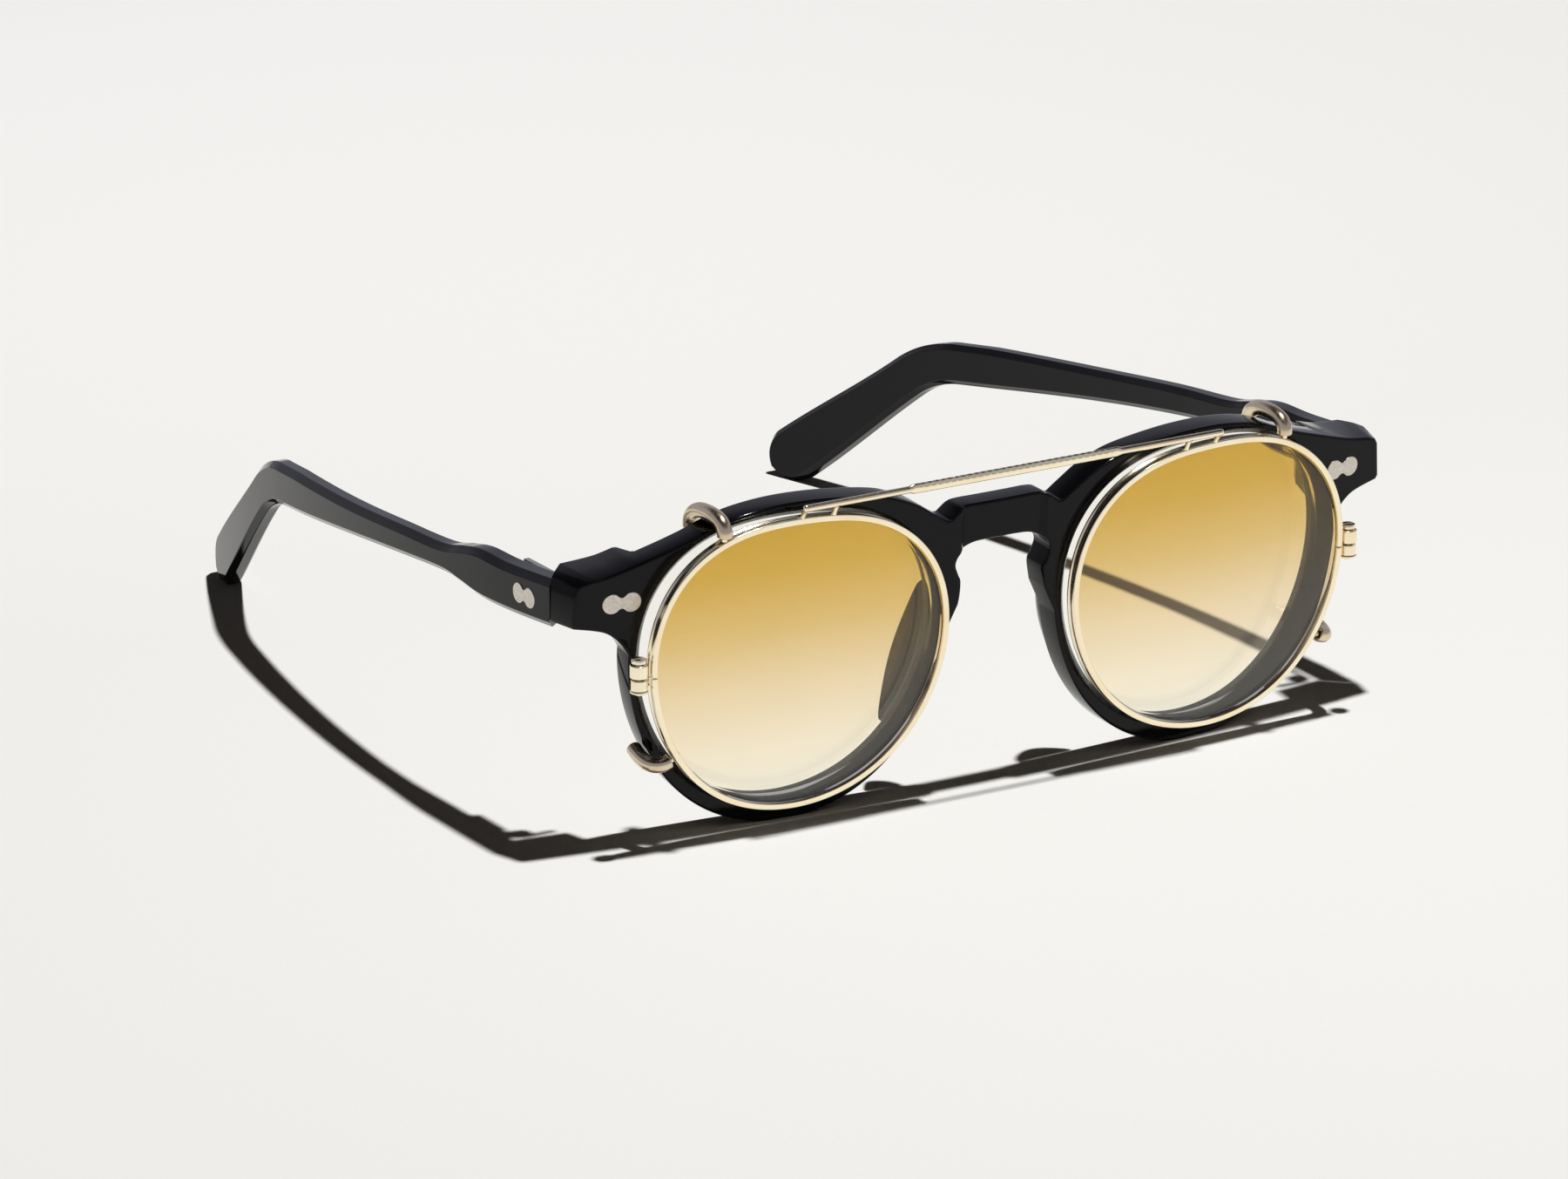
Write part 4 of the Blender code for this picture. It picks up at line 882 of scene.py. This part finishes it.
def build_hook(name, route, tag):
    """A hook: a wire soldered to the eyewire, and over it a satin sleeve, open at its first
    end with a rolled lip and closed by a dome at its far end."""
    path = smooth_through(route, 8)
    wire = tube_rings(path, HOOK_WIRE, 20)
    add_grid("gold_%s_%s_wire" % (name, tag), wire, GOLD, "clip_on", "pale_gold",
             ["%s_%s_wire" % (name, tag)])
    outside = path[HOOK_BARE:]
    u, v = frames_along(outside)
    tangent = unit(np.gradient(outside, axis=0))
    q = np.linspace(0, np.pi, 9)[1:-1]
    mid_wall = (HOOK_SLEEVE + HOOK_BORE) / 2
    lip_rows = [(outside[0] - HOOK_LIP * np.sin(k) * tangent[0],
                 mid_wall + HOOK_LIP * np.cos(k)) for k in q[::-1]]
    q = np.linspace(0, np.pi / 2, 9)[1:]
    dome = [(outside[-1] + HOOK_DOME * np.sin(k) * tangent[-1],
             max(HOOK_SLEEVE * np.cos(k), 0.02)) for k in q]
    start = [(place, HOOK_BORE) for place in outside[6::-1]]
    rows = start + lip_rows + [(place, HOOK_SLEEVE) for place in outside] + dome
    places = np.array([row[0] for row in rows])
    radii = np.array([row[1] for row in rows])
    side = np.concatenate([u[6::-1], np.repeat(u[:1], len(lip_rows), 0), u,
                           np.repeat(u[-1:], len(dome), 0)])
    other = np.concatenate([v[6::-1], np.repeat(v[:1], len(lip_rows), 0), v,
                            np.repeat(v[-1:], len(dome), 0)])
    a = (np.arange(32) * 2 * np.pi / 32)[None, :, None]
    rings = places[:, None] + radii[:, None, None] * (np.cos(a) * side[:, None]
                                                      + np.sin(a) * other[:, None])
    add_grid("champagne_%s_%s_sleeve" % (name, tag), rings, SLEEVE, "clip_on",
             "champagne_sleeve", ["%s_%s_sleeve" % (name, tag)])


def top_route(side):
    """From the top of the clip rim up, over the acetate and down behind it."""
    route = [(-20.9, 43.95), (-21.1, 44.6), (-21.0, 45.4), (-20.2, 46.3), (-18.6, 46.75),
             (-16.6, 46.85), (-14.4, 46.6), (-12.7, 45.8), (-11.9, 44.7), (-11.8, 43.6)]
    return np.array([(side * TOP_HOOK_X, y, z) for y, z in route])


def low_route(side):
    """From the lower side of the clip rim outwards, then back past the acetate."""
    angle, radius, depth = np.array([(-31, 23.05, -0.2), (-31, 23.6, -0.2), (-30.6, 24.5, -0.1),
                                     (-30.1, 25.3, 0.5), (-29.5, 25.8, 1.6), (-28.8, 25.9, 2.9),
                                     (-28.1, 25.8, 4.2), (-27.4, 25.6, 5.3)]).T
    return polar_on_clip(side, np.radians(angle), radius, depth)


# ---------------------------------------------------------------- the studio

CAMERA_TURN, CAMERA_RISE = radians(-31.244), radians(18.107)
CAMERA_AIM = np.array([0.85, -8.08, 11.5]) * 0.001
CAMERA_DISTANCE = 1.5404
SENSOR_WIDTH, FOCAL_LENGTH = 36.0, 242.5
KEY_PLACE = (0.074, -0.085, 0.673)
KEY_RADIUS = 0.014
KEY_POWER = 41.0
FLOOR_REACH, FLOOR_HEIGHT = 6.0, -0.00005


def build_camera():
    """A long lens on a full-frame sensor, level, looking down on the glasses from their left."""
    back = np.array([np.sin(CAMERA_TURN) * np.cos(CAMERA_RISE),
                     -np.cos(CAMERA_TURN) * np.cos(CAMERA_RISE), np.sin(CAMERA_RISE)])
    data = bpy.data.cameras.new("camera")
    data.sensor_width, data.lens = SENSOR_WIDTH, FOCAL_LENGTH
    camera = bpy.data.objects.new("camera", data)
    camera.location = CAMERA_AIM + back * CAMERA_DISTANCE
    camera.rotation_mode = "QUATERNION"
    camera.rotation_quaternion = Vector(-back).to_track_quat("-Z", "Y")
    bpy.context.scene.collection.objects.link(camera)
    bpy.context.scene.camera = camera


def build_floor():
    """A pale paper floor, wide enough to be all that the camera sees."""
    mesh = bpy.data.meshes.new("paper_floor")
    reach, z = FLOOR_REACH, FLOOR_HEIGHT
    mesh.from_pydata([(-reach, -reach, z), (reach, -reach, z), (reach, reach, z),
                      (-reach, reach, z)], [], [(0, 1, 2, 3)])
    mesh.materials.append(studio_paper())
    floor = bpy.data.objects.new("paper_floor", mesh)
    bpy.context.scene.collection.objects.link(floor)


def build_light():
    """One small hard key high above, whose strength doesn't fall off across the floor, in a dim
    studio.  Only glossy surfaces see the studio's pale walls, up to 40 degrees high."""
    data = bpy.data.lights.new("key", "POINT")
    data.energy, data.shadow_soft_size = KEY_POWER, KEY_RADIUS
    data.use_nodes = True
    emission = data.node_tree.nodes["Emission"]
    falloff = data.node_tree.nodes.new("ShaderNodeLightFalloff")
    falloff.inputs["Strength"].default_value = 1.0
    data.node_tree.links.new(falloff.outputs["Constant"], emission.inputs["Strength"])
    key = bpy.data.objects.new("key", data)
    key.location = KEY_PLACE
    bpy.context.scene.collection.objects.link(key)

    world = bpy.data.worlds.new("studio")
    bpy.context.scene.world = world
    world.use_nodes = True
    tree = world.node_tree
    place = add_node(tree, "TexCoord", {}, {})
    height = add_node(tree, "SeparateXYZ", {}, {"Vector": (place, "Generated")})
    walls = add_node(tree, "ValToRGB", {}, {"Fac": (height, "Z")})
    for element, (position, tone) in zip(walls.color_ramp.elements, ((0.5, "#A5A6B2"),
                                                                     (0.72, "#0A0A0B"))):
        element.position, element.color = position, colour(tone)
    ray = add_node(tree, "LightPath", {}, {})
    seen = add_node(tree, "Mix", {"data_type": "RGBA"},
                    {"Factor": (ray, "Is Diffuse Ray"), 6: (walls, "Color"),
                     7: colour("#262321")})
    tree.links.new(seen.outputs[2], tree.nodes["Background"].inputs["Color"])
    bpy.context.scene.view_settings.view_transform = "Standard"


# ---------------------------------------------------------------- the object

build_camera()
build_floor()
build_light()
build_front()
build_bar()
for side_tag, side_sign in SIDES:
    build_lenses(side_tag, side_sign)
    build_nose_pad(side_tag, side_sign)
    build_front_rivet(side_tag, side_sign)
    build_temple(side_tag, side_sign)
    build_clip_rim(side_tag, side_sign)
    build_lock(side_tag, side_sign)
    build_hook("top_hook", top_route(side_sign), side_tag)
    build_hook("low_hook", low_route(side_sign), side_tag)
for node_name in ("front_hinge_leaf", "temple_hinge_leaf", "hinge_screw", "temple_core_wire"):
    for side_tag, _ in SIDES:
        node = frame["nodes"][node_name + "_" + side_tag]
        node.data.materials.clear()
        node.data.materials.append(STEEL)
